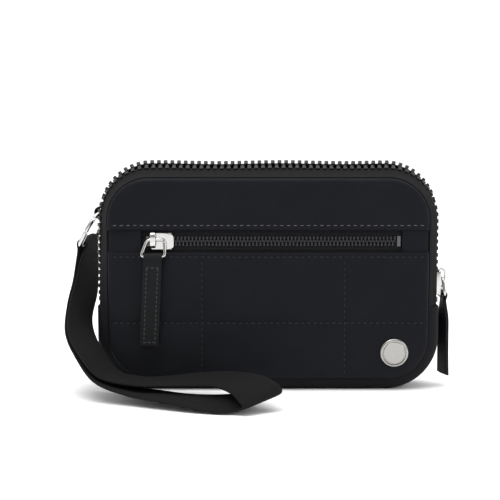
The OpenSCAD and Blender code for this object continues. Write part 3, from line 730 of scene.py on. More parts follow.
pocket_end("pocket_cover_left", -HALF_W, POCKET_LEFT, POCKET_LEFT, "pocket_end_tab_left")
pocket_end("pocket_cover_right", POCKET_RIGHT, HALF_W, POCKET_RIGHT, "pocket_end_tab_right")


def pocket_tape(name, side, node):
    """A strip of zip tape with a raised guide line, lying flat behind one lip."""
    low, high = span(node)
    x, w = np.meshgrid(np.linspace(low[0], high[0], 120), np.linspace(0, 1, 22), indexing="ij")
    z = POCKET_Z + side * (1.6 + w * (high[2] - low[2]))
    ridge = 0.22 * np.exp(-(((np.abs(z - POCKET_Z) - 4.3) / 0.35) ** 2))
    skins = xyz(x, POCKET_Y - 0.28 - ridge, z), xyz(x, POCKET_Y + 0.22, z)
    make_piece(
        name, [two_skins(*skins)], tape_cloth, "shell", [node], uv=cloth_uv(x, z)
    )


pocket_tape("pocket_tape_top", 1, "pocket_zip_tape_upper")
pocket_tape("pocket_tape_bottom", -1, "pocket_zip_tape_lower")

# %% [markdown]
# ## Zip teeth
# A moulded tooth is clamped over the tape's edge at its root, narrows to a neck and ends in a wide
# head that locks behind its neighbours' heads. The same outline, made smaller, serves the pocket's
# metal teeth. Rows are copies of one template, set by the direction each tooth points in.

# %% Tooth template and rows
TOOTH_OUTLINE = np.array([
    (-1.0, 0.80), (-0.9, 1.0), (0.0, 1.0), (0.26, 0.64),
    (0.48, 0.66), (0.70, 0.98), (0.90, 0.92), (1.0, 0.55),
])
POCKET_PITCH = 2


def tooth_template(length, width, thick, bevel=0.22):
    """Rings of the outline from one face to the other, drawn in at both faces for a soft edge."""
    half = TOOTH_OUTLINE * (length / 2, width / 2)
    outline = np.concatenate([half, half[::-1] * (1, -1)])
    inset = 1 - 2 * bevel / np.array([length, width])
    levels = [(-thick / 2, inset), (-thick / 2 + bevel, 1), (thick / 2 - bevel, 1), (thick / 2, inset)]
    return np.stack([xyz(*(outline * scale).T, level) for level, scale in levels])


def pocket_row(name, side, node):
    """Half of the pocket's chain: heads cross the middle between those of the other half."""
    low, high = span(node)
    count = round((high[0] - low[0] - 0.9) / POCKET_PITCH) + 1
    x = low[0] + 0.45 + POCKET_PITCH * np.arange(count)
    origin = xyz(x, POCKET_Y, POCKET_Z + side * 1.15)
    tooth = tooth_template(length=3.1, width=1.15, thick=1.9, bevel=0.16)
    row = copies(tooth, origin, (0, 0, -side), (1, 0, 0), (0, -1, 0))
    make_piece(name, row, dark_metal, "shell", [node])


pocket_row("pocket_teeth_top", 1, "pocket_zip_teeth_upper")
pocket_row("pocket_teeth_bottom", -1, "pocket_zip_teeth_lower")

# %% [markdown]
# ## The main zip
# Shut, each tape folds over and lies flat with its teeth meeting in the middle. Where the zip is
# open the tape springs up, so its edge points outwards and the teeth stand like a fence. The tape's
# profile is a smooth curve through five points, and it goes from the flat set to the sprung set
# with distance from the slider's run.

# %% Tapes of the main zip
FLAT = np.array([(0.2, SEAM), (2.5, 10.9), (4.5, 8.3), (5.1, 5.6), (5.1, 3.0)])
SPRUNG = np.array([(0.2, SEAM), (1.5, 10.7), (2.8, 8.2), (3.9, 6.1), (5.0, 4.3)])
SLIDER_TOP = span("main_zip_slider")[1][2] + 24
TAPE_W = 11.4


def sprung(s):
    """0 where the tape lies flat and 1 where it springs up."""
    left = smooth((s - 8) / 30)
    right = smooth((SEAM_RUN - s - (SLIDER_TOP + 1 - ZIP_START)) / 30)
    return left * right


def curve_through(points, t):
    """Smooth curve through a list of points at t from 0 to 1, with its ends repeated."""
    padded = np.concatenate([2 * points[:1] - points[1:2], points, 2 * points[-1:] - points[-2:-1]])
    place = np.clip(t, 0, 1) * (len(points) - 1)
    i = np.minimum(place.astype(int), len(points) - 2)
    f = (place - i)[..., None]
    return catmull_rom(*(padded[i + k] for k in range(4)), f)


def around(line, out, forward, back=False):
    """Points at a distance out from the seam line and forward of the middle plane."""
    point, normal = line
    flat = point + out[..., None] * normal
    return xyz(flat[..., 0], forward if back else -forward, flat[..., 1])


def tape_profile(s, w):
    """Distance out and forward of the tape's middle at length s and share w of its width."""
    spring = sprung(s)[..., None]
    wave = 0.25 * sprung(s) * np.sin(s / 11) * w
    both = (1 - spring) * curve_through(FLAT, w) + spring * curve_through(SPRUNG, w)
    return both[..., 0] + wave, both[..., 1]


def tape_normal(s, w):
    """Directions square to the tape's profile and along it, each as (out, forward)."""
    ahead = np.stack(tape_profile(s, w + 0.01), -1) - np.stack(tape_profile(s, w - 0.01), -1)
    ahead = unit(ahead)
    return np.stack([-ahead[..., 1], ahead[..., 0]], -1), ahead


def zip_tape(name, replaces, back):
    """One side's tape along the whole seam, with a ridge by the teeth and one by the sewn edge."""
    s, w = np.meshgrid(np.linspace(0, SEAM_RUN, 330), np.linspace(0.005, 0.995, 26), indexing="ij")
    out, forward = tape_profile(s, w)
    normal, _ = tape_normal(s, w)
    ridge = 0.16 * np.exp(-(((w - 0.72) / 0.03) ** 2)) + 0.12 * np.exp(-(((w - 0.12) / 0.04) ** 2))
    skins = [
        leaned(around(seam_line(s), out + off * normal[..., 0], forward + off * normal[..., 1], back), back)
        for off in (0.36 + ridge, -0.36)
    ]
    make_piece(
        name, [two_skins(*skins)], tape_cloth, side_body(back), replaces,
        uv=cloth_uv(s, w * TAPE_W),
    )


zip_tape("zip_tape_front", ["main_zip_tape_front"], False)
zip_tape("zip_tape_back", ["main_zip_tape_back_sides", "main_zip_tape_back_top"], True)

# %% Teeth of the main zip
PITCH = 3.75
TEETH_START = 5.2


def teeth_row(name, replaces, shift, back):
    """Teeth at an even pitch along the tape's edge, each pointing the way the tape's edge does."""
    fine = np.linspace(0, SEAM_RUN, 4000)
    run = run_along(around(seam_line(fine), np.full_like(fine, 5.0), 3.0))
    length = run[-1] - 2 * TEETH_START
    at = TEETH_START + (np.arange(int(length / PITCH)) + 0.5 + shift) * PITCH
    s = np.interp(at[at < run[-1] - TEETH_START], run, fine)
    edge_w = np.ones_like(s)
    out, forward = tape_profile(s, edge_w)
    normal, ahead = tape_normal(s, edge_w)
    base = around(seam_line(s), out, forward, back)
    point, up = (
        around(seam_line(s), out + way[:, 0], forward + way[:, 1], back) - base
        for way in (ahead, normal)
    )
    tooth = tooth_template(length=3.35, width=2.15, thick=2.7)
    row = copies(tooth, base, point, np.cross(up, point), up)
    row = [(leaned(points, back), groups) for points, groups in row]
    make_piece(name, row, zip_plastic, side_body(back), replaces)


teeth_row("zip_teeth_front", ["main_zip_teeth_front"], 0, False)
teeth_row("zip_teeth_back", ["main_zip_teeth_back_sides", "main_zip_teeth_back_top"], 0.5, True)

# %% [markdown]
# ## Gusset, back panel and linings
# The gusset is the band of nylon that joins the panels below the zip. Its profile is flat in the
# middle, where the pouch stands, and turns in to a seam at each side. The back is one padded panel:
# it bends softly where the mouth leans open.

# %% Gusset and its lining
GUSSET_LIFT = 2 * (CENTRE_Z - ZIP_START)
LOW_RUN = SEAM_RUN - 2 * GUSSET_LIFT
GUSSET = np.array([
    (0.2, SEAM), (2.6, 12.9), (4.7, 11.8), (6.0, 10.0),
    (GUSSET_RISE, 7.5), (GUSSET_RISE, 3.7), (GUSSET_RISE, 0),
])
GUSSET_ALL = np.concatenate([GUSSET, GUSSET[-2::-1] * (1, -1)])
GUSSET_W = 32


def seam_below(s):
    """Point and outward direction at length s down the left side, under the bottom and up again."""
    point, normal = seam_line(s + GUSSET_LIFT)
    return point * (1, -1) + (0, 2 * CENTRE_Z), normal * (1, -1)


def gusset_band(name, node, inset, thick, material):
    """A band swept below the zip, inset from the outside by some millimetres."""
    s, w = np.meshgrid(np.linspace(0, LOW_RUN, 260), np.linspace(0, 1, 61), indexing="ij")
    profile = curve_through(GUSSET_ALL, w)
    ahead = unit(curve_through(GUSSET_ALL, w + 0.004) - curve_through(GUSSET_ALL, w - 0.004))
    normal = np.stack([-ahead[..., 1], ahead[..., 0]], -1)
    middle = np.exp(-(((w - 0.5) / 0.35) ** 4))
    slack = 0.16 * np.sin(s / 7.3 + 3 * w) * np.sin(math.pi * w) * (1 - middle)
    skins = []
    for depth in (inset + 0.3 * slack, inset + thick + 0 * slack):
        at = profile - depth[..., None] * normal
        skins.append(around(seam_below(s), at[..., 0], at[..., 1]))
    make_piece(
        name, [two_skins(*skins)], material, "shell", [node], uv=cloth_uv(s, w * GUSSET_W)
    )


gusset_band("gusset_band", "gusset", 0, 0.9, gusset_cloth)
gusset_band("gusset_lining_band", "gusset_lining", 1.1, 0.4, lining_cloth)

# %% Back panel and the linings
BACK_X, BACK_Z = (-43, 0, 43), (45, 78)
NO_LIPS = (999, 999)


def back_height(x, z):
    """The back's outer skin: the front's, with other sewn lines and no lips."""
    return quilted_height(x, z, lines_x=BACK_X, lines_z=BACK_Z, lips=NO_LIPS)


def back_panel():
    """The whole back as one padded panel, leant with the mouth above the fold."""
    x, z = panel_grid(PANEL_LOW, PANEL_TOP)
    skins = (lean_back(xyz(x, y, z)) for y in (PANEL_IN + back_height(x, z), PANEL_IN))
    piece = make_piece(
        "back_panel_quilted", [two_skins(*skins)], panel_cloth, "mouth",
        ["back_panel_lower", "back_panel_flap"],
    )


def lining_sheet(name, nodes, depth, back):
    """A lining cut to the panel's outline, with slow waves towards the inside of the pouch."""
    x, z = panel_grid(PANEL_LOW + 0.6, PANEL_TOP - 0.6, 2.2)
    x = x * (HALF_W - 0.6) / HALF_W
    slack = 0.5 * (creases(x + 40, z - 25) + 0.6) * np.clip(inside_by(x, z) / 9, 0, 1)
    slack = np.maximum(slack, 0)
    side = 1 if back else -1
    skins = [leaned(xyz(x, side * d, z), back) for d in (depth - 0.35 - slack, depth)]
    make_piece(name, [two_skins(*skins)], lining_cloth, side_body(back), nodes)


back_panel()
back_rows = []
for line in BACK_Z:
    back_rows += row_across(line, surface=back_height, side=1)
for line in BACK_X:
    back_rows += row_up(line, PANEL_LOW + ROW_END, PANEL_TOP - ROW_END, back_height, 1)
back_rows = [(lean_back(points), groups) for points, groups in back_rows]
make_piece("back_quilting_stitches", back_rows, dark_thread, "mouth")
lining_sheet("front_lining_sheet", ["front_lining"], -span("front_lining")[0][1], False)
lining_sheet(
    "back_lining_sheet", ["back_lining_lower", "back_lining_flap"], span("back_lining_lower")[1][1], True
)

# %% Seam bindings and the pocket's bag


def binding(name, nodes, back):
    """Folded tape that wraps the raw seam edges inside, carried round the whole outline."""
    half = 2 * TURN + 2 * (HALF_W - CORNER) + 2 * (SIDE_Z - CENTRE_Z)
    steps = 150
    over = seam_line(np.linspace(0, half, steps, endpoint=False) + CENTRE_Z - ZIP_START)
    under = over[0] * -1 + (0, 2 * CENTRE_Z), over[1] * -1
    line = [np.concatenate(pair)[:, None] for pair in zip(over, under)]
    a = np.linspace(0, math.tau, 20, endpoint=False)
    step = np.arange(2 * steps)[:, None]
    out = -1.8 + 0.75 * (1 + 0.05 * np.sin(step * 2.1)) * squared(np.cos(a))
    rings = leaned(around(line, out, 11.05 + 1.3 * squared(np.sin(a)), back), back)
    uv = np.stack(np.broadcast_arrays(step * half / steps, a * 1.1), -1).reshape(-1, 2)
    make_piece(name, [band(rings, True)], binding_cloth, side_body(back), nodes, uv=uv)


binding("front_binding", ["front_seam_binding"], False)
binding("back_binding", ["back_seam_binding_lower", "back_seam_binding_flap"], True)


def pocket_bag():
    """A flat cloth bag: two layers that meet in a rounded edge all round."""
    low, high = span("pocket_bag")
    u, v = np.meshgrid(np.linspace(0, 1, 70), np.linspace(0, 1, 50), indexing="ij")
    x, z = low[0] + u * (high[0] - low[0]), low[2] + v * (high[2] - low[2])
    edge = np.minimum(np.minimum(x - low[0], high[0] - x), np.minimum(z - low[2], high[2] - z))
    swell = 0.15 + 1.2 * np.sqrt(1 - (1 - np.clip(edge / 5, 0, 1)) ** 2)
    skins = [xyz(x, (low[1] + high[1]) / 2 + k * swell, z) for k in (-1, 1)]
    make_piece("pocket_bag_cloth", [two_skins(*skins)], lining_cloth, "shell", ["pocket_bag"])


pocket_bag()

# %% [markdown]
# ## Sliders and rings
# Sliders are die-cast and plated: two plates joined by a wedge, with every corner rounded. Each
# plate is an outline with its corners turned into short arcs, drawn in a little at both faces. The
# bridge that holds the pull and the rings themselves are tubes along a path.

# %% Plates, tubes and their placing


def rounded_outline(corners, radius, steps=5):
    """The outline with each corner replaced by a parabola that starts radius before it."""
    corners = np.array(corners, float)
    before, after = np.roll(corners, 1, 0) - corners, np.roll(corners, -1, 0) - corners
    shorter = np.minimum(np.linalg.norm(before, axis=1), np.linalg.norm(after, axis=1))
    reach = np.minimum(radius, 0.48 * shorter)[:, None]
    start, end = corners + unit(before) * reach, corners + unit(after) * reach
    t = np.linspace(0, 1, steps)[None, :, None]
    arc = (1 - t) ** 2 * start[:, None] + 2 * t * (1 - t) * corners[:, None] + t**2 * end[:, None]
    return arc.reshape(-1, 2)


def plate(corners, low, high, radius=1.2, bevel=0.3):
    """A flat piece between two levels with rounded corners and softened edges."""
    outline = rounded_outline(corners, radius)
    ahead = unit(np.roll(outline, -1, 0) - np.roll(outline, 1, 0))
    (x, y), (next_x, next_y) = outline.T, np.roll(outline, -1, 0).T
    area = np.sum(x * next_y - next_x * y)
    inward = np.stack([-ahead[:, 1], ahead[:, 0]], -1) * np.sign(area)
    soft = [
        (low, 1), (low + 0.3 * bevel, 0.3), (low + bevel, 0),
        (high - bevel, 0), (high - 0.3 * bevel, 0.3), (high, 1),
    ]
    return band(np.stack([xyz(*(outline + inward * bevel * share).T, level) for level, share in soft]))


def ovals(path, side, up, half_side, half_up):
    """Cross-sections along a path; half_side and half_up run round each, along its two directions."""
    return path[:, None] + half_side[:, None] * side[:, None] + half_up[:, None] * up[:, None]


def tube(path, radius, sides=20, closed=False):
    """A round rod along a path that is flat, at one z."""
    ahead = np.roll(path, -1, 0) - np.roll(path, 1, 0) if closed else np.gradient(path, axis=0)
    up = np.broadcast_to([0, 0, 1.0], path.shape)
    a = math.tau * np.arange(sides) / sides
    side = np.cross(unit(ahead), up)
    return band(ovals(path, side, up, radius * np.cos(a), radius * np.sin(a)), closed)


def placed(islands, origin, x_axis, y_axis, z_axis):
    """Moves islands drawn in their own x, y and z to an origin and three directions."""
    axes = np.array([x_axis, y_axis, z_axis], float)
    return [island(points @ axes + origin, *faces) for points, faces in islands]


def loop_path(corners, radius, steps=9):
    """A closed flat path with rounded corners, as points in x and y at z = 0."""
    return xyz(*rounded_outline(corners, radius, steps).T, 0)


print("plates, tubes and loops ready")

# %% Pocket slider, its ring and the main slider
WIRE, RING_W = 1.8, 15.0
BRIDGE_H, BRIDGE_W, BRIDGE_T = 2.95, 3.0, 1.1
BRIDGE_SINK = 1.15
MAIN_SLIDER_OUT = 5.0
RIGHT, OUT, UP = (np.array(v, float) for v in ((1, 0, 0), (0, -1, 0), (0, 0, 1)))
pocket_hinge, pocket_tab_hinge = pivot("pocket_ring_swing"), pivot("pocket_tab_swing")
main_hinge, main_tab_hinge = pivot("main_ring_swing"), pivot("main_tab_swing")


def bridge(length):
    """The arched bridge over a slider: a flat bar bent up at both ends."""
    t = np.linspace(0, 1, 25)
    arch = np.clip(1 - np.abs(2 * t - 1) ** 5, 0, 1) ** 0.6
    path = xyz((t - 0.5) * length, 0, BRIDGE_H * arch + 0.1)
    side = np.array([[0, 1.0, 0]])
    up = np.cross(unit(np.gradient(path, axis=0)), side)
    a = math.tau * np.arange(16) / 16
    half_side, half_up = BRIDGE_W / 2 * squared(np.cos(a)), BRIDGE_T / 2 * squared(np.sin(a))
    return band(ovals(path, side, up, half_side, half_up))


def slider(length, half, cavity, plate_thick, wall, slot):
    """A slider drawn with its mouth at x = 0 and its nose at x = length."""
    body = [
        (0.0, -0.45 * half), (0.0, -half + 1.2), (1.0, -half), (0.62 * length, -half),
        (length, -0.8 * half), (length, 0.8 * half), (0.62 * length, half), (1.0, half),
        (0.0, half - 1.2), (0.0, 0.45 * half), (0.09 * length, 0.0),
    ]
    parts = []
    for level, wall_levels in (
        (-cavity / 2 - plate_thick, (-cavity / 2 - 0.1, -slot / 2)),
        (cavity / 2, (slot / 2, cavity / 2 + 0.1)),
    ):
        parts.append(plate(body, level, level + plate_thick, 1.6, 0.32))
        for edge in (-1, 1):
            y0, y1 = edge * (half - wall), edge * half * 0.97
            flange = [(1.4, y0), (length - 1.2, y0), (length - 1.2, y1), (1.4, y1)]
            parts.append(plate(flange, *wall_levels, 0.25, 0.12))
    wedge = [(0.5, -0.25), (3.6, -0.18), (3.6, 0.18), (0.5, 0.25)]
    parts.append(plate(wedge, -cavity / 2 - 0.1, cavity / 2 + 0.1, 0.1, 0.04))
    return parts


def cast_slider(name, body, node, islands, mouth, axes, hinge, bridge_length, across):
    """A slider with its mouth at a point, and its bridge under the hinge of its ring."""
    out = axes[2]
    islands = placed(islands, mouth, *axes)
    islands += placed([bridge(bridge_length)], hinge - BRIDGE_SINK * out, UP, across, out)
    make_piece(name, islands, silver, body, [node])


low, high = span("pocket_zip_slider")
cast_slider(
    "pocket_slider_cast", "pocket_slider", "pocket_zip_slider",
    slider(high[0] - low[0], half=4.6, cavity=2.1, plate_thick=1.0, wall=0.6, slot=0.9),
    (low[0], POCKET_Y, POCKET_Z), (RIGHT, UP, OUT), pocket_hinge, bridge_length=8.4, across=RIGHT,
)
low, high = span("main_zip_slider")
cast_slider(
    "main_slider_cast", "main_slider", "main_zip_slider",
    slider(high[2] - low[2], half=6.3, cavity=3.6, plate_thick=1.2, wall=0.7, slot=1.2),
    (HALF_W + MAIN_SLIDER_OUT, 0, high[2]), (-UP, -OUT, RIGHT), main_hinge,
    bridge_length=10.4, across=-OUT,
)


def pull_ring(name, top, bottom, across, body, node, narrow, shift=0.0):
    """A wire ring from the slider's bridge to the tab, its top bar narrower and set to one side."""
    drop = np.linalg.norm(bottom - top)
    half = (RING_W - WIRE) / 2
    corners = [(shift - half * narrow, 0), (shift + half * narrow, 0), (half, -drop), (-half, -drop)]
    wire = tube(loop_path(corners, 2.4), WIRE / 2, 20, True)
    up = (top - bottom) / drop
    make_piece(
        name, placed([wire], top, across, up, np.cross(across, up)),
        silver, body, [node],
    )


pull_ring(
    "pocket_ring_wire", pocket_hinge, pocket_tab_hinge, RIGHT, "pocket_ring", "pocket_pull_ring",
    narrow=0.72, shift=1.5,
)
pull_ring(
    "main_ring_wire", main_hinge, main_tab_hinge, -OUT, "main_ring", "main_pull_ring", narrow=0.8
)

# %% [markdown]
# ## Leather pull tabs
# A pull tab is one strip of leather folded over the ring's bar, glued back to back and sewn along
# both edges and across the end. The strip's middle line goes up the front, round the bar and down
# the back; its edges are cut square and painted, so they are only slightly rounded.

# %% Tabs
LEATHER, TAB_W = 1.0, 10.0
HALF_TAB = LEATHER / 2 + 0.01
TAB_STITCH = 1.75, 0.34


def tab_path(front, back, bar):
    """Middle line of the strip as (distance down, distance forward), round a bar at the origin."""
    r = bar / 2 + 0.1 + LEATHER / 2
    join = 3.4
    t = np.linspace(0, 1, 14)
    neck = np.stack([join * (1 - t), HALF_TAB + (r - HALF_TAB) * smooth(t)], -1)
    a = np.linspace(0, math.pi, 25)[1:]
    bow = np.stack([-r * np.sin(a), r * np.cos(a)], -1)
    outside, inside = (
        np.stack([np.linspace(join + 0.4, end, 40), np.full(40, HALF_TAB)], -1)
        for end in (front, back)
    )
    return np.concatenate([outside[::-1], neck, bow, neck[-2::-1] * (1, -1), inside * (1, -1)])


def pull_tab(name, body, node, hinge, across, forward, front, back, lean, sway, twist):
    """A folded tab hanging from a bar, leaning sideways, curling forward and twisting a little."""
    path = tab_path(front, back, WIRE)
    w = squared(np.linspace(-1, 1, 19), 0.7)
    ahead = unit(np.gradient(path, axis=0))
    normal = np.stack([ahead[:, 1], -ahead[:, 0]], -1)

    def in_space(down, x, fore):
        """A place on the hanging tab, from distances down it, across it and in front of it."""
        hang = np.clip(down / front, 0, 1)
        x = x + down * math.tan(-lean)
        fore = fore + sway * hang**2 + 0.35 * np.sin(hang * 4) * (1 - hang)
        turn = twist * smooth(down / 16)
        x, fore = x * np.cos(turn) - fore * np.sin(turn), x * np.sin(turn) + fore * np.cos(turn)
        return hinge + x[..., None] * across + fore[..., None] * forward - down[..., None] * UP

    skins = []
    edge = LEATHER / 2 * (1 - 0.35 * np.abs(w) ** 10)
    behind = path[:, None, 1] < 0
    for side in (1, -1):
        at = path[:, None] + side * edge[None, :, None] * normal[:, None]
        down, fore = at[..., 0], at[..., 1]
        hang = np.clip(down / front, 0, 1)
        x = w * TAB_W / 2 - 0.55 * smooth(hang) * behind
        skins.append(in_space(down, x, fore - 0.5 * hang**3 * behind))
    make_piece(name, [two_skins(*skins)], tab_leather, body, [node])

    def face_point(down, x):
        """A place on the tab's front face."""
        down, x = np.broadcast_arrays(down, x)
        return in_space(down, x, HALF_TAB + LEATHER / 2 - 0.04)

    rows = []
    inset = TAB_W / 2 - 2.0
    long = np.arange(7.0, front - 2.0, 2.5)
    for x in (-inset, inset):
        at = face_point(long, x)
        rows += stitch_islands(at, face_point(long + 0.5, x) - at, forward, *TAB_STITCH)
    for down in (6.0, front - 1.8):
        at = face_point(down, np.linspace(-inset + 0.4, inset - 0.4, 3))
        rows += stitch_islands(at, across, forward, *TAB_STITCH)
    make_piece(name + "_stitches", rows, tab_thread, body)


pocket_drop = pocket_tab_hinge[2] - span("pocket_pull_tab")[0][2]
pull_tab(
    "pocket_tab_leather", "pocket_tab", "pocket_pull_tab", pocket_tab_hinge, RIGHT, OUT,
    front=pocket_drop - 0.6, back=pocket_drop - 0.9, lean=math.radians(2.6), sway=0.4, twist=0.0,
)
main_drop = main_tab_hinge[2] - span("main_pull_tab")[0][2]
pull_tab(
    "main_tab_leather", "main_tab", "main_pull_tab", main_tab_hinge, -OUT, RIGHT,
    front=main_drop - 0.6, back=main_drop - 1.6, lean=0.0, sway=0.8, twist=math.radians(-20),
)

# %% [markdown]
# ## Badge
# The badge is a turned disc: its profile, from the middle out, is carried round its axis.

# %% Badge


def turned(profile, centre, sides=96):
    """A profile of (radius, distance forward) carried round an axis that points to the front."""
    profile = np.array(profile)
    a = math.tau * np.arange(sides) / sides
    rings = xyz(profile[:, :1] * np.cos(a), -profile[:, 1:], profile[:, :1] * np.sin(a))
    return band(rings + centre)


low, high = span("badge")
badge_r = (high[0] - low[0]) / 2
badge_centre = np.array([(low[0] + high[0]) / 2, 0, (low[2] + high[2]) / 2])
RIM = 0.9
dish = [(2.1, 1.6), (1.95, 1.5), (1.8, 1.15), (1.5, 1.15), (1.3, 1.7)]
rim = [(RIM * (1 - math.sin(a)), RIM * (1 + math.cos(a))) for a in np.linspace(0, math.pi / 2, 9)]
profile = [(badge_r - inward, FACE + rise) for inward, rise in dish + rim + [(0, 0.3), (0.5, -0.1)]]
profile = [(0.05, FACE + 1.62)] + profile + [(0.05, FACE - 0.1)]
badge = turned(profile, badge_centre)
make_piece("badge_disc", [badge], satin, "shell", ["badge"], crease=30)

# %% [markdown]
# ## D-ring, its webbing loop and the wrist strap
# The strap is one length of ribbed webbing sewn into a loop round the ring's bar. Its middle line
# is a smooth closed curve through listed points, the same ones that place its solid, and the
# webbing's width turns with them, so it stands on edge at the side and lies over in front.

# %% The ring's own frame
ring_top, ring_foot = pivot("strap_ring_swing"), pivot("strap_swing")
ring_u = unit(np.array(joints["strap_ring_swing"]["axis"], float))
ring_v = unit(ring_top - ring_foot)
ring_s = np.cross(ring_u, ring_v)
RING_WIRE, RING_R = 2.8, 11.0
RING_H = np.linalg.norm(ring_top - ring_foot)
BOW = RING_H - RING_R
gate_pivot = pivot("ring_gate_open") - ring_foot
gate_pivot = np.array([gate_pivot @ ring_u, gate_pivot @ ring_v])
GATE_FROM = math.atan2(gate_pivot[1] - BOW, gate_pivot[0])
GATE_REACH = 2 * RING_R * math.sin((math.pi - GATE_FROM) / 2)


def bow_points(a):
    """Points on the round of the ring at angle a, in the ring's own frame."""
    return xyz(RING_R * np.cos(a), BOW + RING_R * np.sin(a), 0)


RING_CORNER, GATE_GAP = 3.0, 0.35
turn = np.linspace(0, math.pi / 2, 8)
from_side, from_bar = (RING_CORNER * (1 - wave) for wave in (np.sin(turn), np.cos(turn)))
left_corner = xyz(from_side - RING_R, from_bar, 0)[::-1]
right_corner = xyz(RING_R - from_side, from_bar, 0)
gate_reach = math.sqrt((GATE_REACH + GATE_GAP) ** 2 - (RING_R + gate_pivot[0]) ** 2)
gate_end = gate_pivot[1] - gate_reach
side_bar = xyz(-RING_R, [gate_end, gate_end - 1.5, RING_CORNER + 1], 0)
clear = (RING_WIRE / 2 + GATE_GAP) / RING_R
bow = bow_points(np.linspace(0, GATE_FROM - clear, 40))
ring_wire = tube(np.concatenate([side_bar, left_corner, right_corner, bow]), RING_WIRE / 2, 24)
ring_axes = (ring_u, ring_v, ring_s)
make_piece(
    "d_ring_wire", placed([ring_wire], ring_foot, *ring_axes), silver, "strap_ring",
    ["strap_d_ring"],
)
gate_to = math.pi - 0.6 / RING_R
gate = tube(bow_points(np.linspace(GATE_FROM, gate_to, 20)), RING_WIRE / 2 - 0.1, 24)
knuckle = [(0.05, -1.4), (1.1, -1.4), (1.3, -1.2), (1.3, 1.2), (1.1, 1.4), (0.05, 1.4)]
knuckle = placed([turned(knuckle, np.zeros(3), 32)], (*gate_pivot, 0), RIGHT, UP, -OUT)
make_piece(
    "d_ring_gate_wire", placed([gate] + knuckle, ring_foot, *ring_axes), silver, "ring_gate",
    ["d_ring_gate"],
)

# %% The webbing loop that holds the ring
TAB_BEND = RING_WIRE / 2 + 1.55
LOOP_HALF_W = 3.4


def strap_loop_tab():
    """Narrow webbing round the top of the ring's bow, its two ends laid together into the seam."""
    along = np.array([0.9, -0.32, 0.29])
    along = unit(along - ring_u * (along @ ring_u))
    across = np.cross(ring_u, along)
    a = np.linspace(0.16 * math.pi, 1.84 * math.pi, 40)
    bow = np.stack([TAB_BEND * np.cos(a), TAB_BEND * np.sin(a)], -1)
    t = np.linspace(0, 1, 12)[1:]
    end_x, end_y = bow[-1]
    tail = np.stack([end_x + t * 4.6, end_y + (-0.56 - end_y) * smooth(t * 1.6)], -1)
    flat = np.concatenate([(tail * (1, -1))[::-1], bow, tail])
    ahead = unit(np.gradient(flat, axis=0))
    normal = np.stack([ahead[:, 1], -ahead[:, 0]], -1)
    w = np.linspace(-1, 1, 13)
    thick = 0.5 * (1 - 0.5 * np.abs(w) ** 12)
    skins = []
    for side in (1, -1):
        at = flat[:, None] + side * thick[None, :, None] * normal[:, None]
        wide = w[None, :, None] * LOOP_HALF_W * ring_u
        skins.append(ring_top + wide + at[..., :1] * along + at[..., 1:] * across)
    make_piece(
        "strap_tab_webbing", [two_skins(*skins)], strap_cloth, "shell", ["strap_tab"],
        uv=cloth_uv(run_along(flat)[:, None], w * LOOP_HALF_W),
    )


strap_loop_tab()

# %% The strap
STRAP_W, STRAP_NECK, STRAP_T = 24.0, 15.2, 1.6
STRAP_ROWS = [
    ((-15.3, 19.4, 76.5), (5, 16, 2.4), 2.2, 0),
    ((-15.3, 16.5, 70.5), (6, 17, 2.6), 1.3, 0),
    ((-15.4, 10.5, 61), (8, 18, 3), 1.05, 0),
    ((-16, 0.5, 49), (11, 17.5, 3), 1.05, 0),
    ((-16.5, -11.5, 35), (9.5, 20, 2), 1.05, 0),
    ((-10.1, -24, 23.6), (8.5, 22, 0.8), 1.2, 0),
    ((1.2, -34, 11.8), (8, 22.4, -1), 1.5, 0.8),
    ((16.9, -38.5, 7.5), (2.9, 23.8, -0.4), 2.1, 3.5),
    ((32, -43, 7.1), (0.8, 24, 0.2), 2.5, 6.8),
    ((46.2, -47, 7.2), (0.1, 23.9, 1.6), 3, 9.3),
    ((60.4, -51.5, 7.8), (5.7, 22.8, 3.2), 3.4, 8.6),
    ((72.7, -60.5, 8.6), (13.9, 18.2, 5.6), 3.3, 4.4),
    ((80.7, -67, 8.1), (19.6, 12, 5.8), 2.7, 1),
]


def strap_loop():
    """Points of the loop and the width across it at each: round the bar, out and back again."""
    middle, across, gap, step = (np.array(column, float) for column in zip(*STRAP_ROWS))
    middle, across, gap, step = middle + (-HALF_W, 0, 0), unit(across), gap[:, None], step[:, None]
    held = np.concatenate([middle[:1], middle, middle[-1:]])
    ahead = unit(held[2:] - held[:-2])
    normal = unit(np.cross(ahead, across))
    width = np.full(len(middle), STRAP_W)
    width[:2] = STRAP_NECK + 2.5, STRAP_W - 1.5
    bend = RING_WIRE / 2 + STRAP_T / 2 + 0.45
    a = np.radians([215, 173, 131, 89, 47])[:, None]
    bar_points = ring_foot + bend * (np.cos(a) * ring_s + np.sin(a) * ring_v)
    out = middle + gap * normal + step * across
    home = (middle - gap * normal - step * across)[::-1]
    far = middle[-1:] + 4 * ahead[-1:] + (0, 0, -0.3)
    points = np.concatenate([bar_points, out, far, home])
    wide = np.concatenate([
        np.tile(ring_u * (STRAP_NECK + 1.5), (5, 1)), across * width[:, None], across[-1:] * STRAP_W,
        (across * width[:, None])[::-1],
    ])
    return points, wide


def closed_curve(points, t):
    """The closed smooth curve through points, at t counted in points."""
    i = np.floor(t).astype(int)
    return catmull_rom(*(points[(i + k) % len(points)] for k in (-1, 0, 1, 2)), (t - i)[:, None])


loop_points, loop_wide = strap_loop()


def loop_at(t):
    """Middle, width and upward direction of the webbing at t counted in points of the loop."""
    wide = closed_curve(loop_wide, t)
    ahead = unit(closed_curve(loop_points, t + 0.03) - closed_curve(loop_points, t - 0.03))
    return closed_curve(loop_points, t), wide, unit(np.cross(ahead, wide))


centre, wide, strap_up = loop_at(np.linspace(0, len(loop_points), 640, endpoint=False))
run = run_along(centre)


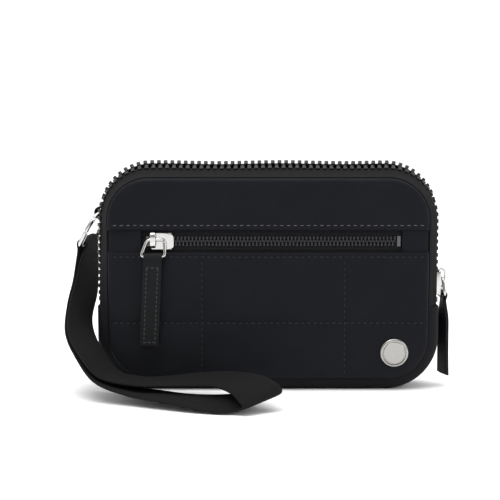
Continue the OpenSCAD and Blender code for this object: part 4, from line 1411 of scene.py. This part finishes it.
def strap_skins():
    """Two faces of the webbing: slightly thinner at its woven edges, with a bead along each."""
    w = squared(np.linspace(-1, 1, 33), 0.8)
    bead = 1 - 0.12 * np.exp(-(((np.abs(w) - 0.88) / 0.03) ** 2))
    thick = STRAP_T / 2 * (1 - 0.55 * np.abs(w) ** 16) * bead
    middle = centre[:, None] + w[None, :, None] * wide[:, None] / 2
    return [middle + side * thick[None, :, None] * strap_up[:, None] for side in (1, -1)], w


skins, w = strap_skins()
strap = make_piece(
    "wrist_strap_webbing", [two_skins(*skins, wrap_rows=True)], strap_cloth, "strap",
    ["wrist_strap"], uv=cloth_uv(run[:, None], w * STRAP_W / 2),
)

# %% Sewn end of the strap
BAR_POINTS = 5


def strap_place(place, lift):
    """Points on the loop's front layer at (row of the strap's list, share across), raised by lift."""
    row, w = place.T
    middle, wide_at, up = loop_at(BAR_POINTS + row)
    return middle + w[:, None] * wide_at / 2 + lift * up


probe = np.array([(2.0, 0.0)])
face = 1 if strap_place(probe, 1)[0, 0] < strap_place(probe, 0)[0, 0] else -1
share = (np.arange(7)[:, None] + 0.5) / 7
box_rows = []
for first, last in (
    ((1.9, -0.8), (1.9, 0.8)), ((2.15, -0.8), (2.15, 0.8)),
    ((1.9, -0.8), (2.9, 0.0)), ((1.9, 0.8), (2.9, 0.0)),
):
    first, way = np.array(first), np.subtract(last, first)
    skin, above = face * (STRAP_T / 2 + 0.03), face * (STRAP_T / 2 + 1)
    place = first + share * way
    here = strap_place(place, skin)
    run, out = strap_place(place + 0.02 * way, skin) - here, strap_place(place, above) - here
    box_rows += stitch_islands(here, run, out, length=1.8, radius=0.3)
make_piece("strap_box_stitches", box_rows, tab_thread, "strap")

# %% Finishes for the solids that stay
for kept in ("pocket_zip_stops", "main_zip_top_stops", "main_zip_bottom_stop", "badge_washer"):
    mesh = frame["nodes"][kept].data
    mesh.materials.clear()
    mesh.materials.append(dull_plate)
print("stops and washer finished in dull plate")

# %% [markdown]
# ## Floor, backdrop and light
# A white floor under a sky that is white above and behind and darker towards the viewer, with two
# large soft lights and a broad sun for the ceiling. The dark side gives the plated hardware
# something to reflect.

# %% Floor and light
floor_mesh = bpy.data.meshes.new("floor")
floor_mesh.from_pydata([(-4, -4, 0), (4, -4, 0), (4, 4, 0), (-4, 4, 0)], [], [(0, 1, 2, 3)])
floor = bpy.data.objects.new("floor", floor_mesh)
bpy.context.scene.collection.objects.link(floor)
paper = Finish("paper_floor", Base_Color=(0.97, 0.97, 0.97, 1), Roughness=0.9, Specular_IOR_Level=0.1)
floor_mesh.materials.append(paper.done())

world = bpy.data.worlds.new("studio")
bpy.context.scene.world = world
world.use_nodes = True
sky = world.node_tree
aim = sky.nodes.new("ShaderNodeTexCoord").outputs["Generated"]
toward = sky.nodes.new("ShaderNodeVectorMath")
toward.operation = "DOT_PRODUCT"
toward.inputs[1].default_value = (0, 1.0, 0.7)
sky.links.new(aim, toward.inputs[0])
fade = sky.nodes.new("ShaderNodeMapRange")
for socket, value in (("From Min", -0.55), ("From Max", 0.0), ("To Min", 0.40), ("To Max", 1.10)):
    fade.inputs[socket].default_value = value
sky.links.new(toward.outputs["Value"], fade.inputs["Value"])
sky.links.new(fade.outputs[0], sky.nodes["Background"].inputs["Strength"])
sky.nodes["Background"].inputs["Color"].default_value = (1, 1, 1, 1)
bpy.context.scene.view_settings.view_transform = "Standard"


def area_light(name, location, size, power, target=(0, 0, 0.06)):
    """A square soft light that faces the pouch."""
    data = bpy.data.lights.new(name, "AREA")
    data.size, data.energy = size, power
    lamp = bpy.data.objects.new(name, data)
    lamp.location = location
    away = np.array(location) - np.array(target)
    lamp.rotation_euler = (
        math.atan2(math.hypot(away[0], away[1]), away[2]), 0,
        math.atan2(away[1], away[0]) + math.pi / 2,
    )
    bpy.context.scene.collection.objects.link(lamp)


area_light("key", (-0.35, -0.45, 1.1), size=0.7, power=5)
area_light("fill", (0.9, -0.5, 0.5), size=0.4, power=2)
sun = bpy.data.objects.new("ceiling", bpy.data.lights.new("ceiling", "SUN"))
sun.data.energy, sun.data.angle = 1.4, math.radians(50)
bpy.context.scene.collection.objects.link(sun)
print("floor, sky, two soft lights and a ceiling")
